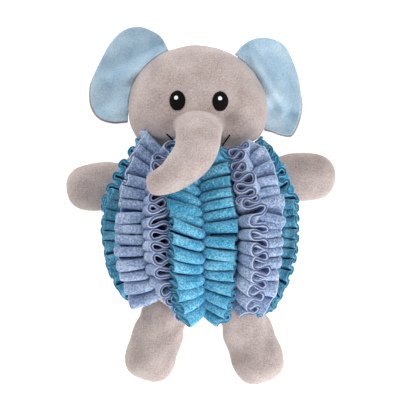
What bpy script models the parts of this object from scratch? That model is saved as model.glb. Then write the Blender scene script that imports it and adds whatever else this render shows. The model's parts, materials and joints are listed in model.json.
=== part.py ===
"""Plush snuffle toy: a stuffed elephant whose ball body wears gathered fleece ruffles.

The toy lies on its back. +Y points to the top of the head, +Z out of the face, and left and right
are as seen from the front, so left is -X. The origin is on the floor under the ball's centre.
"""
import math

import bmesh
import bpy
from mathutils import Vector

# Cloth, thread and clearance
PLUSH = 0.0016
FLEECE = 0.0026
THREAD = 0.0013
SEWN_GAP = 0.0003

# Ball body: half sizes, the height of its centre, lower than its half depth so the back is flat, and
# the neck seam's place towards the head, as a share of the half length
BALL_HALF_WIDTH = 0.0685
BALL_HALF_LENGTH = 0.0765
BALL_HALF_DEPTH = 0.0603
BALL_HEIGHT = 0.055
NECK_PLACE_SHARE = 0.88235

# Head, as an egg of three half sizes, whose centre stands past the neck seam by a share of its length
HEAD_HALF_WIDTH = 0.0600
HEAD_HALF_LENGTH = 0.0540
HEAD_HALF_DEPTH = 0.0490
HEAD_SEAT_SHARE = 0.71296
HEAD_SIDE_SHIFT = 0.0052
HEAD_HEIGHT = 0.0570

# Face, measured from the head's centre
EYE_WIDTH = 0.0136
EYE_LENGTH = 0.0169
EYE_THICKNESS = 0.0012
EYE_SPACING = 0.0372
EYE_SIDE_SHIFT = 0.0017
EYE_RISE = 0.0052
HIGHLIGHT_WIDTH = 0.0035
HIGHLIGHT_THICKNESS = 0.0006
HIGHLIGHT_SIDE_SHARE = 0.09
HIGHLIGHT_RISE_SHARE = 0.18
MOUTH_HALF_SPAN = 0.0240
MOUTH_LENGTH = 0.0120
MOUTH_DROP = 0.0290

# Trunk
TRUNK_ROOT_HALF_WIDTH = 0.0215
TRUNK_ROOT_HALF_LENGTH = 0.0150
TRUNK_ROOT_DROP = 0.0185
TRUNK_LENGTH = 0.0500
TRUNK_RISE = 0.0385
TRUNK_SWING = 0.0435

# Ears
EAR_SPAN = 0.0830
EAR_DIP = 0.0050
EAR_BACK_OVERHANG = 0.0012
EAR_FOOT_SHARE = 0.86

# Arms and legs
ARM_LENGTH = 0.0670
ARM_WIDTH = 0.0430
ARM_THICKNESS = 0.0330
ARM_ROOT_HEIGHT = 0.0320
ARM_ROOT_RISE = 0.0435
ARM_ROOT_STAGGER = 0.0018
ARM_PIVOT_INSET = 0.0150
LEFT_ARM_SLOPE_SHARE = -0.12
RIGHT_ARM_LENGTH_SHARE = 0.98
LEG_LENGTH = 0.0715
LEG_WIDTH = 0.0460
LEG_THICKNESS = 0.0350
LEG_ROOT_HEIGHT = 0.0360
LEG_ROOT_OFFSET = 0.0300
LEFT_LEG_SPLAY_SHARE = -0.28
RIGHT_LEG_SPLAY_SHARE = 0.32
LIMB_DROOP_SHARE = 0.6

# Ruffles: the pitch of the folds along the seam, the width of one wing of a strip, and the room
# that the trunk and the head press out of them
FOLD_PITCH = 0.0104
WING_WIDTH = 0.0280
FRONT_WING_WIDTH = 0.0310
SIDE_WING_WIDTH = 0.0250
LOWER_WING_WIDTH = 0.0190
PRESSED_CLEARANCE = 0.0012

# Squeaker
BULB_RADIUS = 0.0200
BULB_HALF_LENGTH = 0.0150
BULB_WALL = 0.0012
REED_RADIUS = 0.0045
REED_LENGTH = 0.0110
REED_BORE = 0.0015

# Mesh fineness, in counts
BALL_SIDES = 22
BALL_RINGS = 13
LIMB_SIDES = 12
STEPS_PER_FOLD = 6
TURNED_SIDES = 14
BULB_STEPS = 8
PAD_SIDES = 14
PAD_ROWS = 3
LINE_STEPS = 4
FOLD_PATH_STEPS = 48
SEAM_PATH_STEPS = 200

# Shapes as shares of the sizes above
WING_ROW_SHARES = (0.42, 1.0)
SEAM_SWING_SHARE = 0.56
LEFT_EAR_SHARES = (
    (0.341, 0.257), (0.261, 0.413), (0.157, 0.487), (0.016, 0.529), (-0.139, 0.487),
    (-0.265, 0.365), (-0.355, 0.212), (-0.448, 0.012), (-0.480, -0.146), (-0.466, -0.300),
    (-0.387, -0.420), (-0.247, -0.467), (-0.093, -0.455))
RIGHT_EAR_SHARES = (
    (-0.282, 0.328), (-0.198, 0.428), (-0.090, 0.490), (0.020, 0.507), (0.159, 0.475),
    (0.252, 0.398), (0.329, 0.243), (0.392, 0.042), (0.411, -0.176), (0.392, -0.330),
    (0.313, -0.500), (0.220, -0.507), (0.111, -0.470), (0.027, -0.446))
EAR_ROW_SHARES = (0.0, 0.33, 0.67, 1.0)
# Share of the length, of the full width and of the full thickness, root to tip
ARM_SHAPE_SHARES = (
    (0.0, 0.26, 0.26), (0.06, 0.50, 0.32), (0.18, 0.70, 0.46), (0.38, 0.94, 0.74),
    (0.60, 1.0, 1.0), (0.80, 0.90, 0.94), (0.94, 0.56, 0.60))
LEG_SHAPE_SHARES = (
    (0.0, 0.66, 0.24), (0.12, 0.80, 0.48), (0.30, 0.90, 0.74), (0.52, 0.97, 0.94),
    (0.72, 1.0, 1.0), (0.88, 0.82, 0.84), (0.97, 0.48, 0.46))
# Share of the length, sideways swing, rise, and of the root's half width, root to tip
TRUNK_SHAPE_SHARES = (
    (0.0, 0.0, 0.0, 1.0), (0.05, 0.0, 0.32, 0.99), (0.14, 0.0, 0.62, 0.96), (0.32, 0.04, 0.84, 0.90),
    (0.54, 0.16, 0.95, 0.80), (0.74, 0.34, 1.0, 0.70), (0.88, 0.54, 1.0, 0.60),
    (0.96, 0.75, 0.99, 0.52), (0.99, 0.90, 0.98, 0.38))
TRUNK_TIP_SHARES = (1.0, 1.0, 0.97)
TRUNK_SECTION_HEIGHT_SHARE = 0.86
# Rings over which the trunk turns from its root's shape to its own
TRUNK_TURN_RINGS = 3
TRUNK_FLATTEN_RINGS = 2

# How far a fold's path turns each way at the seam and along a wing, in degrees
SEAM_BEND_DEG = 57.3
WING_BEND_DEG = 106

# Stations of each ruffle from the feet up, in degrees: the seam's rise towards the neck and its turn
# from the front, then how far the left and the right wing lean out from upright
FRONT_STATIONS = (
    (-59, 0, 35, 40), (-35, 0, 52, 66), (0, 0, 60, 78), (25, -2, 62, 76), (46, -4, 50, 50))
LEFT_FRONT_STATIONS = (
    (-52, -45, 40, 30), (-25, -45, 74, 56), (0, -45, 80, 60), (20, -45, 74, 46), (35, -45, 50, 40),
    (50, -45, 26, 24))
RIGHT_FRONT_STATIONS = (
    (-52, 38, 12, 40), (-25, 37, 18, 76), (0, 38, 24, 82), (15, 42, 58, 80), (35, 44, 56, 58),
    (50, 45, 28, 26))
LEFT_SIDE_STATIONS = (
    (-38, -88, 40, 40), (0, -90, 58, 52), (15, -90, 20, 52), (35, -90, 5, 42), (50, -88, 3, 25))

# Colours
TAUPE = (0.478, 0.405, 0.381)
EAR_BLUE = (0.389, 0.560, 0.745)
TURQUOISE = (0.089, 0.373, 0.560)
LILAC = (0.275, 0.337, 0.556)
THREAD_BLACK = (0.010, 0.010, 0.012)
THREAD_WHITE = (0.850, 0.850, 0.850)
STUFFING_WHITE = (0.800, 0.790, 0.760)
RUBBER = (0.620, 0.600, 0.540)
PLUSH_ROUGHNESS = 0.9
FLEECE_ROUGHNESS = 0.95
THREAD_ROUGHNESS = 0.4
RUBBER_ROUGHNESS = 0.5

BALL_CENTRE = Vector((0, 0, BALL_HEIGHT))
NECK = Vector((0, BALL_HALF_LENGTH * NECK_PLACE_SHARE, BALL_HEIGHT))
HEAD_CENTRE = Vector((-HEAD_SIDE_SHIFT, NECK.y + HEAD_HALF_LENGTH * HEAD_SEAT_SHARE, HEAD_HEIGHT))
HALF_BALL = Vector((BALL_HALF_WIDTH, BALL_HALF_LENGTH, BALL_HALF_DEPTH))
HALF_HEAD = Vector((HEAD_HALF_WIDTH, HEAD_HALF_LENGTH, HEAD_HALF_DEPTH))


def clear_scene():
    for obj in list(bpy.data.objects):
        bpy.data.objects.remove(obj, do_unlink=True)


def new_collection(name):
    group = bpy.data.collections.new(name)
    bpy.context.scene.collection.children.link(group)
    return group


def plain_material(name, colour, roughness):
    material = bpy.data.materials.new(name)
    material.use_nodes = True
    shader = material.node_tree.nodes["Principled BSDF"]
    shader.inputs["Base Color"].default_value = (*colour, 1)
    shader.inputs["Roughness"].default_value = roughness
    shader.inputs["Metallic"].default_value = 0
    return material


clear_scene()
TOY = new_collection("plush_snuffle_toy")
CUTTERS = new_collection("cutters")
TAUPE_PLUSH = plain_material("taupe_plush", TAUPE, PLUSH_ROUGHNESS)
BLUE_PLUSH = plain_material("blue_plush", EAR_BLUE, PLUSH_ROUGHNESS)
TURQUOISE_FLEECE = plain_material("turquoise_fleece", TURQUOISE, FLEECE_ROUGHNESS)
LILAC_FLEECE = plain_material("lilac_fleece", LILAC, FLEECE_ROUGHNESS)
BLACK_THREAD = plain_material("black_thread", THREAD_BLACK, THREAD_ROUGHNESS)
WHITE_THREAD = plain_material("white_thread", THREAD_WHITE, THREAD_ROUGHNESS)
STUFFING = plain_material("fibre_stuffing", STUFFING_WHITE, FLEECE_ROUGHNESS)
SQUEAKER_VINYL = plain_material("squeaker_vinyl", RUBBER, RUBBER_ROUGHNESS)


def smooth(share):
    share = min(max(share, 0), 1)
    return share * share * (3 - 2 * share)


def mix(first, last, share):
    return first + (last - first) * share


def on_egg(centre, half, direction):
    """The point of an egg's surface that lies from its centre in a direction."""
    reach = math.sqrt(sum((d / h) ** 2 for d, h in zip(direction, half)))
    return centre + direction / reach


def egg_normal(centre, half, point):
    return Vector([(p - c) / (h * h) for p, c, h in zip(point, centre, half)]).normalized()


def keep_outside_egg(point, centre, half, gap):
    """Moves a point that is inside an egg, or closer to it than the gap, straight out of it."""
    surface = on_egg(centre, half, point - centre)
    if (point - centre).length < (surface - centre).length + gap:
        return surface + egg_normal(centre, half, surface) * gap
    return point


def head_front(x, y, lift):
    """The point of the face above x and y, lifted along the face's normal."""
    across = ((x - HEAD_CENTRE.x) / HEAD_HALF_WIDTH) ** 2 + ((y - HEAD_CENTRE.y) / HEAD_HALF_LENGTH) ** 2
    point = Vector((x, y, HEAD_CENTRE.z + HEAD_HALF_DEPTH * math.sqrt(1 - across)))
    return point + egg_normal(HEAD_CENTRE, HALF_HEAD, point) * lift


def mesh_object(name, vertices, faces, material, group=TOY):
    mesh = bpy.data.meshes.new(name)
    mesh.from_pydata([tuple(v) for v in vertices], [], faces)
    mesh.materials.append(material)
    obj = bpy.data.objects.new(name, mesh)
    group.objects.link(obj)
    return obj


def face_outwards(obj):
    work = bmesh.new()
    work.from_mesh(obj.data)
    bmesh.ops.recalc_face_normals(work, faces=work.faces)
    work.to_mesh(obj.data)
    work.free()
    obj.data.shade_smooth()


def give_wall(obj, thickness, offset=-1.0):
    wall = obj.modifiers.new("wall", "SOLIDIFY")
    wall.thickness = thickness
    wall.offset = offset


def loft(name, rings, tip, material, root_middle=None):
    """A skin over rings of points that closes at the tip, and at its root where a middle is given."""
    sides = len(rings[0])
    vertices = [point for ring in rings for point in ring] + [tip]
    faces = []
    for ring in range(len(rings) - 1):
        for side in range(sides):
            near, far = ring * sides, (ring + 1) * sides
            following = (side + 1) % sides
            faces.append((near + side, near + following, far + following, far + side))
    last = (len(rings) - 1) * sides
    faces += [(last + side, last + (side + 1) % sides, len(vertices) - 1) for side in range(sides)]
    if root_middle is not None:
        vertices.append(root_middle)
        faces += [((side + 1) % sides, side, len(vertices) - 1) for side in range(sides)]
    obj = mesh_object(name, vertices, faces, material)
    obj.data.shade_smooth()
    return obj


def inset_rings(rings, tip, depth):
    """The same rings drawn in by a depth along the skin's normals, with the tip drawn in too."""
    skin = bmesh.new()
    vertices = [[skin.verts.new(point) for point in ring] for ring in rings]
    end = skin.verts.new(tip)
    sides = len(rings[0])
    for near, far in zip(vertices, vertices[1:]):
        for side in range(sides):
            following = (side + 1) % sides
            skin.faces.new((near[side], near[following], far[following], far[side]))
    for side in range(sides):
        skin.faces.new((vertices[-1][side], vertices[-1][(side + 1) % sides], end))
    skin.normal_update()
    drawn = [[v.co - v.normal * depth for v in ring] for ring in vertices]
    drawn_tip = end.co - end.normal * depth
    skin.free()
    return drawn, drawn_tip


def stuffed_form(name, rings, tip, root_middle=None):
    """A plush cover, open at the seam it is sewn on by, and the stuffing that fills it.

    Where no root middle is given, the stuffing starts past the seam allowance, at the second ring."""
    cover = loft(name + "_cover", rings, tip, TAUPE_PLUSH)
    give_wall(cover, PLUSH)
    drawn, drawn_tip = inset_rings(rings, tip, PLUSH + SEWN_GAP)
    if root_middle is None:
        drawn = drawn[1:]
        root_middle = sum(drawn[0], Vector()) / len(drawn[0])
    filling = loft(name + "_filling", drawn, drawn_tip, STUFFING, root_middle)
    return cover, filling


def hang_on_axis(name, pivot, pieces):
    """Parents the pieces to an empty that stands on their joint's axis."""
    axis = bpy.data.objects.new(name + "_axis", None)
    axis.location = pivot
    axis.empty_display_size = SEWN_GAP
    TOY.objects.link(axis)
    for piece in pieces:
        for vertex in piece.data.vertices:
            vertex.co -= pivot
        piece.parent = axis


def ring_about(centre, side, up, count=LIMB_SIDES):
    """A ring of points about a centre; side and up are its two half-size vectors."""
    angles = [2 * math.pi * step / count for step in range(count)]
    return [centre + side * math.cos(angle) + up * math.sin(angle) for angle in angles]


# Ball body

def ball_ring(angle):
    """One ring of the ball round the toy's length, flattened where it would pass the floor."""
    ring = []
    for step in range(BALL_SIDES):
        turn = 2 * math.pi * (step + 0.5) / BALL_SIDES
        direction = Vector((
            -BALL_HALF_WIDTH * math.cos(angle) * math.sin(turn),
            BALL_HALF_LENGTH * math.sin(angle),
            BALL_HALF_DEPTH * math.cos(angle) * math.cos(turn)))
        point = BALL_CENTRE + direction
        point.z = max(point.z, 0)
        ring.append(point)
    return ring


def make_ball():
    neck_angle = math.asin(NECK_PLACE_SHARE)
    angles = [mix(neck_angle, -math.pi / 2, step / BALL_RINGS) for step in range(BALL_RINGS)]
    rings = [ball_ring(angle) for angle in angles]
    for point in rings[0]:
        point.y = NECK.y - SEWN_GAP / 2
    tip = BALL_CENTRE - Vector((0, BALL_HALF_LENGTH, 0))
    root_middle = NECK - Vector((0, SEWN_GAP / 2, 0))
    cover, filling = stuffed_form("body", rings, tip, root_middle)
    return cover, filling


def squeaker_profile(grow):
    """Half section of the squeaker's bulb, from its closed end to its neck, grown by a clearance."""
    outline = []
    for step in range(BULB_STEPS + 1):
        angle = mix(-math.pi / 2, math.pi / 2, step / BULB_STEPS)
        radius = (BULB_RADIUS + grow) * math.cos(angle)
        outline.append((radius, (BULB_HALF_LENGTH + grow) * math.sin(angle)))
    neck_radius = REED_RADIUS + SEWN_GAP + BULB_WALL + grow
    outline = [place for place in outline if place[0] > neck_radius or place[1] < 0]
    outline.append((neck_radius, outline[-1][1] + BULB_WALL))
    outline.append((neck_radius, BULB_HALF_LENGTH + REED_LENGTH / 2 + grow))
    return outline


def turned(name, outline, material, group=TOY):
    """A profile turned round the toy's length, with its places given as radius and distance along."""
    vertices, faces = [], []
    closed_start = outline[0][0] < SEWN_GAP
    rows = outline[1:] if closed_start else outline
    for radius, along in rows:
        for step in range(TURNED_SIDES):
            turn = 2 * math.pi * step / TURNED_SIDES
            vertices.append(BALL_CENTRE + Vector((radius * math.sin(turn), along, radius * math.cos(turn))))
    for row in range(len(rows) - 1):
        for step in range(TURNED_SIDES):
            following = (step + 1) % TURNED_SIDES
            low, high = row * TURNED_SIDES, (row + 1) * TURNED_SIDES
            faces.append((low + step, low + following, high + following, high + step))
    if closed_start:
        vertices.append(BALL_CENTRE + Vector((0, outline[0][1], 0)))
        faces += [(len(vertices) - 1, (step + 1) % TURNED_SIDES, step) for step in range(TURNED_SIDES)]
    return mesh_object(name, vertices, faces, material, group)


def make_squeaker(filling):
    bulb = turned("squeaker_bulb", squeaker_profile(0), SQUEAKER_VINYL)
    face_outwards(bulb)
    give_wall(bulb, BULB_WALL)

    reed_middle = Vector((0, BULB_HALF_LENGTH, 0)) + BALL_CENTRE
    reed = turned("squeaker_reed", [
        (REED_RADIUS, reed_middle.y - REED_LENGTH / 2), (REED_RADIUS, reed_middle.y + REED_LENGTH / 2)],
        SQUEAKER_VINYL)
    face_outwards(reed)
    give_wall(reed, REED_RADIUS - REED_BORE)

    outline = squeaker_profile(SEWN_GAP)
    outline[-1] = (outline[-1][0], NECK.y + BULB_HALF_LENGTH)
    pocket = turned("squeaker_pocket", outline, STUFFING, CUTTERS)
    face_outwards_closed(pocket)
    cut = filling.modifiers.new("squeaker_pocket", "BOOLEAN")
    cut.operation = "DIFFERENCE"
    cut.object = pocket
    pocket.hide_render = True
    pocket.display_type = "WIRE"


def face_outwards_closed(obj):
    """Closes the open end of a turned skin and turns its faces outwards."""
    work = bmesh.new()
    work.from_mesh(obj.data)
    bmesh.ops.holes_fill(work, edges=[edge for edge in work.edges if edge.is_boundary])
    bmesh.ops.recalc_face_normals(work, faces=work.faces)
    work.to_mesh(obj.data)
    work.free()


# Head and face

def neck_share():
    """The neck's radius as a share of the ball's."""
    return math.sqrt(1 - NECK_PLACE_SHARE ** 2)


def make_head():
    neck_angle = math.asin(-HEAD_SEAT_SHARE)
    angles = [mix(neck_angle, math.pi / 2, (step + 0.5) / BALL_RINGS) for step in range(BALL_RINGS)]
    rings = []
    neck_seat = NECK + Vector((0, SEWN_GAP / 2, 0))
    neck_side = Vector((-BALL_HALF_WIDTH * neck_share(), 0, 0))
    neck_up = Vector((0, 0, BALL_HALF_DEPTH * neck_share()))
    rings.append(ring_about(neck_seat, neck_side, neck_up, BALL_SIDES))
    for angle in angles:
        centre = HEAD_CENTRE + Vector((0, HEAD_HALF_LENGTH * math.sin(angle), 0))
        side = Vector((-HEAD_HALF_WIDTH * math.cos(angle), 0, 0))
        up = Vector((0, 0, HEAD_HALF_DEPTH * math.cos(angle)))
        rings.append(ring_about(centre, side, up, BALL_SIDES))
    tip = HEAD_CENTRE + Vector((0, HEAD_HALF_LENGTH, 0))
    return stuffed_form("head", rings, tip, neck_seat)


def pad_on_face(name, x, y, width, length, lift, thickness, material):
    """A stitched oval pad that follows the curve of the face."""
    vertices = [head_front(x, y, lift)]
    for row in range(1, PAD_ROWS + 1):
        for step in range(PAD_SIDES):
            angle = 2 * math.pi * step / PAD_SIDES
            reach = row / PAD_ROWS / 2
            across = x + width * reach * math.cos(angle)
            along = y + length * reach * math.sin(angle)
            vertices.append(head_front(across, along, lift))
    faces = [(0, 1 + step, 1 + (step + 1) % PAD_SIDES) for step in range(PAD_SIDES)]
    for row in range(PAD_ROWS - 1):
        near, far = 1 + row * PAD_SIDES, 1 + (row + 1) * PAD_SIDES
        for step in range(PAD_SIDES):
            following = (step + 1) % PAD_SIDES
            faces.append((near + step, far + step, far + following, near + following))
    pad = mesh_object(name, vertices, faces, material)
    pad.data.shade_smooth()
    give_wall(pad, thickness, 1.0)
    return pad


def stitched_line(name, start, end, material):
    """A raised line of thread over the face between two places."""
    curve = bpy.data.curves.new(name, "CURVE")
    curve.dimensions = "3D"
    curve.bevel_depth = THREAD / 2
    curve.bevel_resolution = 1
    curve.use_fill_caps = True
    spline = curve.splines.new("POLY")
    spline.points.add(LINE_STEPS)
    for step in range(LINE_STEPS + 1):
        place = mix(start, end, step / LINE_STEPS)
        point = head_front(place.x, place.y, THREAD / 2 + SEWN_GAP)
        spline.points[step].co = (*point, 1)
    curve.materials.append(material)
    line = bpy.data.objects.new(name, curve)
    TOY.objects.link(line)
    skin = bpy.data.meshes.new_from_object(line.evaluated_get(bpy.context.evaluated_depsgraph_get()))
    bpy.data.objects.remove(line)
    work = bmesh.new()
    work.from_mesh(skin)
    bmesh.ops.remove_doubles(work, verts=work.verts, dist=SEWN_GAP / 3)
    bmesh.ops.recalc_face_normals(work, faces=work.faces)
    work.to_mesh(skin)
    work.free()
    line = bpy.data.objects.new(name, skin)
    TOY.objects.link(line)
    return line


def make_face():
    pieces = []
    middle = HEAD_CENTRE.x + EYE_SIDE_SHIFT
    eye_y = HEAD_CENTRE.y + EYE_RISE
    for name, sign in (("left", -1), ("right", 1)):
        x = middle + sign * EYE_SPACING / 2
        pieces.append(pad_on_face(
            "eye_" + name, x, eye_y, EYE_WIDTH, EYE_LENGTH, SEWN_GAP, EYE_THICKNESS, BLACK_THREAD))
        glint_lift = EYE_THICKNESS + 2 * SEWN_GAP
        pieces.append(pad_on_face(
            "eye_highlight_" + name, x - EYE_WIDTH * HIGHLIGHT_SIDE_SHARE,
            eye_y + EYE_LENGTH * HIGHLIGHT_RISE_SHARE, HIGHLIGHT_WIDTH, HIGHLIGHT_WIDTH, glint_lift,
            HIGHLIGHT_THICKNESS, WHITE_THREAD))
        corner = Vector((middle + sign * MOUTH_HALF_SPAN, HEAD_CENTRE.y - MOUTH_DROP, 0))
        slope = Vector((-sign, -1, 0)).normalized()
        start = corner - slope * MOUTH_LENGTH / 2
        pieces.append(stitched_line("mouth_" + name, start, start + slope * MOUTH_LENGTH, BLACK_THREAD))
    return pieces


# Trunk

def trunk_path():
    """Centres and half widths of the trunk from its root to the last ring, and its tip."""
    root = head_front(
        HEAD_CENTRE.x + EYE_SIDE_SHIFT, HEAD_CENTRE.y - TRUNK_ROOT_DROP, SEWN_GAP)
    centres, radii = [], []
    for along, swing, rise, width in TRUNK_SHAPE_SHARES:
        centres.append(root + Vector((-TRUNK_SWING * swing, -TRUNK_LENGTH * along, TRUNK_RISE * rise)))
        radii.append(TRUNK_ROOT_HALF_WIDTH * width)
    along, swing, rise = TRUNK_TIP_SHARES
    tip = root + Vector((-TRUNK_SWING * swing, -TRUNK_LENGTH * along, TRUNK_RISE * rise))
    return centres, radii, tip


def make_trunk():
    centres, radii, tip = trunk_path()
    rings = []
    root_ring = []
    for point in ring_about(centres[0], Vector((TRUNK_ROOT_HALF_WIDTH, 0, 0)),
                            Vector((0, TRUNK_ROOT_HALF_LENGTH, 0))):
        root_ring.append(head_front(point.x, point.y, PLUSH / 2 + SEWN_GAP))
    rings.append(root_ring)
    ways = centres + [tip]
    for index in range(1, len(centres)):
        heading = (ways[index + 1] - ways[index - 1]).normalized()
        side = heading.cross(Vector((0, 0, 1)))
        side = mix(Vector((1, 0, 0)), -side, smooth(index / TRUNK_TURN_RINGS)).normalized()
        side = (side - heading * side.dot(heading)).normalized()
        up = side.cross(heading).normalized()
        flat = mix(TRUNK_SECTION_HEIGHT_SHARE * TRUNK_ROOT_HALF_LENGTH / TRUNK_ROOT_HALF_WIDTH,
                   TRUNK_SECTION_HEIGHT_SHARE, smooth(index / TRUNK_FLATTEN_RINGS))
        if side.x < 0:
            side, up = -side, -up
        if up.dot(Vector((0, 1, 1))) < 0:
            up = -up
        rings.append(ring_about(centres[index], side * radii[index], up * radii[index] * flat))
    cover, filling = stuffed_form("trunk", rings, tip)
    face_outwards(cover)
    face_outwards(filling)
    return cover, filling


# Ears

def ear_pivot(sign, outline):
    """The middle of an ear's seam on the head's side, and the seam's direction."""
    first, last = Vector((*outline[0], 0)), Vector((*outline[-1], 0))
    along = (last - first).normalized()
    out = Vector((along.y, -along.x, 0))
    if out.x * sign < 0:
        out = -out
    reach = math.sqrt((HEAD_HALF_WIDTH * out.x) ** 2 + (HEAD_HALF_LENGTH * out.y) ** 2)
    foot = Vector((HEAD_HALF_WIDTH ** 2 * out.x / reach, HEAD_HALF_LENGTH ** 2 * out.y / reach, 0))
    return HEAD_CENTRE + foot + out * SEWN_GAP, along, out


def ear_sheet(name, sign, outline, drop, overhang, material):
    pivot, along, out = ear_pivot(sign, outline)
    vertices = []
    for row in EAR_ROW_SHARES:
        for share_x, share_y in outline:
            rim = pivot + Vector((share_x, share_y, 0)) * (EAR_SPAN + overhang)
            foot_share = min(max((rim - pivot).dot(along) / EAR_SPAN, -0.5), 0.5)
            toward = (pivot + along * foot_share * EAR_SPAN * EAR_FOOT_SHARE - HEAD_CENTRE)
            foot = on_egg(HEAD_CENTRE, HALF_HEAD, Vector((toward.x, toward.y, 0)))
            foot += Vector((toward.x, toward.y, 0)).normalized() * 2 * SEWN_GAP
            point = mix(foot, rim, row)
            reach_share = min((rim - foot).length / (EAR_SPAN / 2), 1)
            point.z = HEAD_CENTRE.z - drop - EAR_DIP * reach_share * math.sin(math.pi * row)
            vertices.append(keep_outside_egg(point, HEAD_CENTRE, HALF_HEAD, 3 * SEWN_GAP))
    count = len(outline)
    faces = []
    for row in range(len(EAR_ROW_SHARES) - 1):
        for step in range(count - 1):
            near, far = row * count + step, (row + 1) * count + step
            faces.append((near, near + 1, far + 1, far))
    sheet = mesh_object(name, vertices, faces, material)
    sheet.data.shade_smooth()
    give_wall(sheet, PLUSH, 0.0)
    return sheet


def make_ear(name, sign, outline):
    front = ear_sheet("ear_" + name + "_front", sign, outline, 0, 0, BLUE_PLUSH)
    back = ear_sheet(
        "ear_" + name + "_back", sign, outline, PLUSH + 3 * SEWN_GAP, EAR_BACK_OVERHANG, TAUPE_PLUSH)
    pivot, _, _ = ear_pivot(sign, outline)
    hang_on_axis("ear_" + name, pivot, (front, back))


# Arms and legs

def limb_rings(root, heading, length, width, thickness, shape_shares):
    """Rings of a stuffed limb that slopes from its root until it lies on the floor."""
    side = Vector((-heading.y, heading.x, 0))
    rings = []
    for along, broad, thick in shape_shares:
        half = thickness * thick / 2
        centre = root + heading * length * along
        centre.z = mix(root.z, thickness / 2, smooth(along / LIMB_DROOP_SHARE))
        centre.z = max(centre.z, half)
        rings.append(ring_about(centre, side * width * broad / 2, Vector((0, 0, half))))
    tip = root + heading * length
    tip.z = thickness / 2
    return rings, tip


def make_limb(name, root, heading, length, width, thickness, shape_shares, pivot):
    rings, tip = limb_rings(root, heading, length, width, thickness, shape_shares)
    rings = [[keep_outside_egg(point, BALL_CENTRE, HALF_BALL, SEWN_GAP) for point in ring] for ring in rings]
    cover, filling = stuffed_form(name, rings, tip)
    face_outwards(cover)
    face_outwards(filling)
    hang_on_axis(name, pivot, (cover, filling))


def arm_root(sign):
    rise = ARM_ROOT_RISE + sign * ARM_ROOT_STAGGER
    toward = Vector((sign, 0, 0))
    start = Vector((0, rise, ARM_ROOT_HEIGHT)) - BALL_CENTRE
    span = 1 - (start.y / BALL_HALF_LENGTH) ** 2 - (start.z / BALL_HALF_DEPTH) ** 2
    point = BALL_CENTRE + start + toward * BALL_HALF_WIDTH * math.sqrt(span)
    return point + toward * SEWN_GAP


def leg_root(sign):
    start = Vector((sign * LEG_ROOT_OFFSET, 0, LEG_ROOT_HEIGHT)) - BALL_CENTRE
    span = 1 - (start.x / BALL_HALF_WIDTH) ** 2 - (start.z / BALL_HALF_DEPTH) ** 2
    point = BALL_CENTRE + start - Vector((0, BALL_HALF_LENGTH * math.sqrt(span), 0))
    return point - Vector((0, SEWN_GAP, 0))


def make_limbs():
    for name, sign, slope, length in (
            ("left", -1, LEFT_ARM_SLOPE_SHARE, 1), ("right", 1, 0, RIGHT_ARM_LENGTH_SHARE)):
        root = arm_root(sign)
        heading = Vector((sign, slope, 0)).normalized()
        pivot = root + heading * ARM_PIVOT_INSET
        make_limb("arm_" + name, root, heading, ARM_LENGTH * length, ARM_WIDTH, ARM_THICKNESS,
                  ARM_SHAPE_SHARES, pivot)
    for name, sign, splay in (("left", -1, LEFT_LEG_SPLAY_SHARE), ("right", 1, RIGHT_LEG_SPLAY_SHARE)):
        root = leg_root(sign)
        heading = Vector((splay, -1, 0)).normalized()
        pivot = root + Vector((0, 0, LEG_THICKNESS * LEG_SHAPE_SHARES[0][2] / 2))
        make_limb("leg_" + name, root, heading, LEG_LENGTH, LEG_WIDTH, LEG_THICKNESS,
                  LEG_SHAPE_SHARES, pivot)


# Ruffles

def fold_swing(most):
    """A serpentine fold of unit pitch whose path turns up to an angle each way: places by step."""
    along, across = [0.0], [0.0]
    for step in range(FOLD_PATH_STEPS):
        angle = most * math.sin(2 * math.pi * (step + 0.5) / FOLD_PATH_STEPS)
        along.append(along[-1] + math.cos(angle))
        across.append(across[-1] + math.sin(angle))
    pitch = along[-1]
    middle = (max(across) + min(across)) / 2
    places = []
    for step in range(STEPS_PER_FOLD):
        index = round(FOLD_PATH_STEPS * (step + 0.5) / STEPS_PER_FOLD)
        places.append((along[index] / pitch, (across[index] - middle) / pitch))
    return places


def ball_frame(turn, rise):
    """Place on the ball by its turn from the front and its rise towards the neck, with directions."""
    place = Vector((
        BALL_HALF_WIDTH * math.cos(rise) * math.sin(turn),
        BALL_HALF_LENGTH * math.sin(rise),
        BALL_HALF_DEPTH * math.cos(rise) * math.cos(turn)))
    onward = Vector((
        -BALL_HALF_WIDTH * math.sin(rise) * math.sin(turn),
        BALL_HALF_LENGTH * math.cos(rise),
        -BALL_HALF_DEPTH * math.sin(rise) * math.cos(turn))).normalized()
    normal = egg_normal(Vector(), HALF_BALL, place)
    sideways = onward.cross(normal)
    return BALL_CENTRE + place, onward, normal, sideways


def seam_rises(turn, start, end):
    """Rise angles of evenly spaced places along a seam, one for each fold boundary."""
    rises = [mix(start, end, step / SEAM_PATH_STEPS) for step in range(SEAM_PATH_STEPS + 1)]
    places = [ball_frame(turn, rise)[0] for rise in rises]
    lengths = [0.0]
    for near, far in zip(places, places[1:]):
        lengths.append(lengths[-1] + (far - near).length)
    folds = max(1, round(lengths[-1] / FOLD_PITCH))
    pitch = lengths[-1] / folds

    def rise_at(distance):
        for index in range(SEAM_PATH_STEPS):
            if lengths[index + 1] >= distance:
                step = lengths[index + 1] - lengths[index]
                return mix(rises[index], rises[index + 1], (distance - lengths[index]) / step)
        return rises[-1]

    return folds, pitch, rise_at


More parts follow.
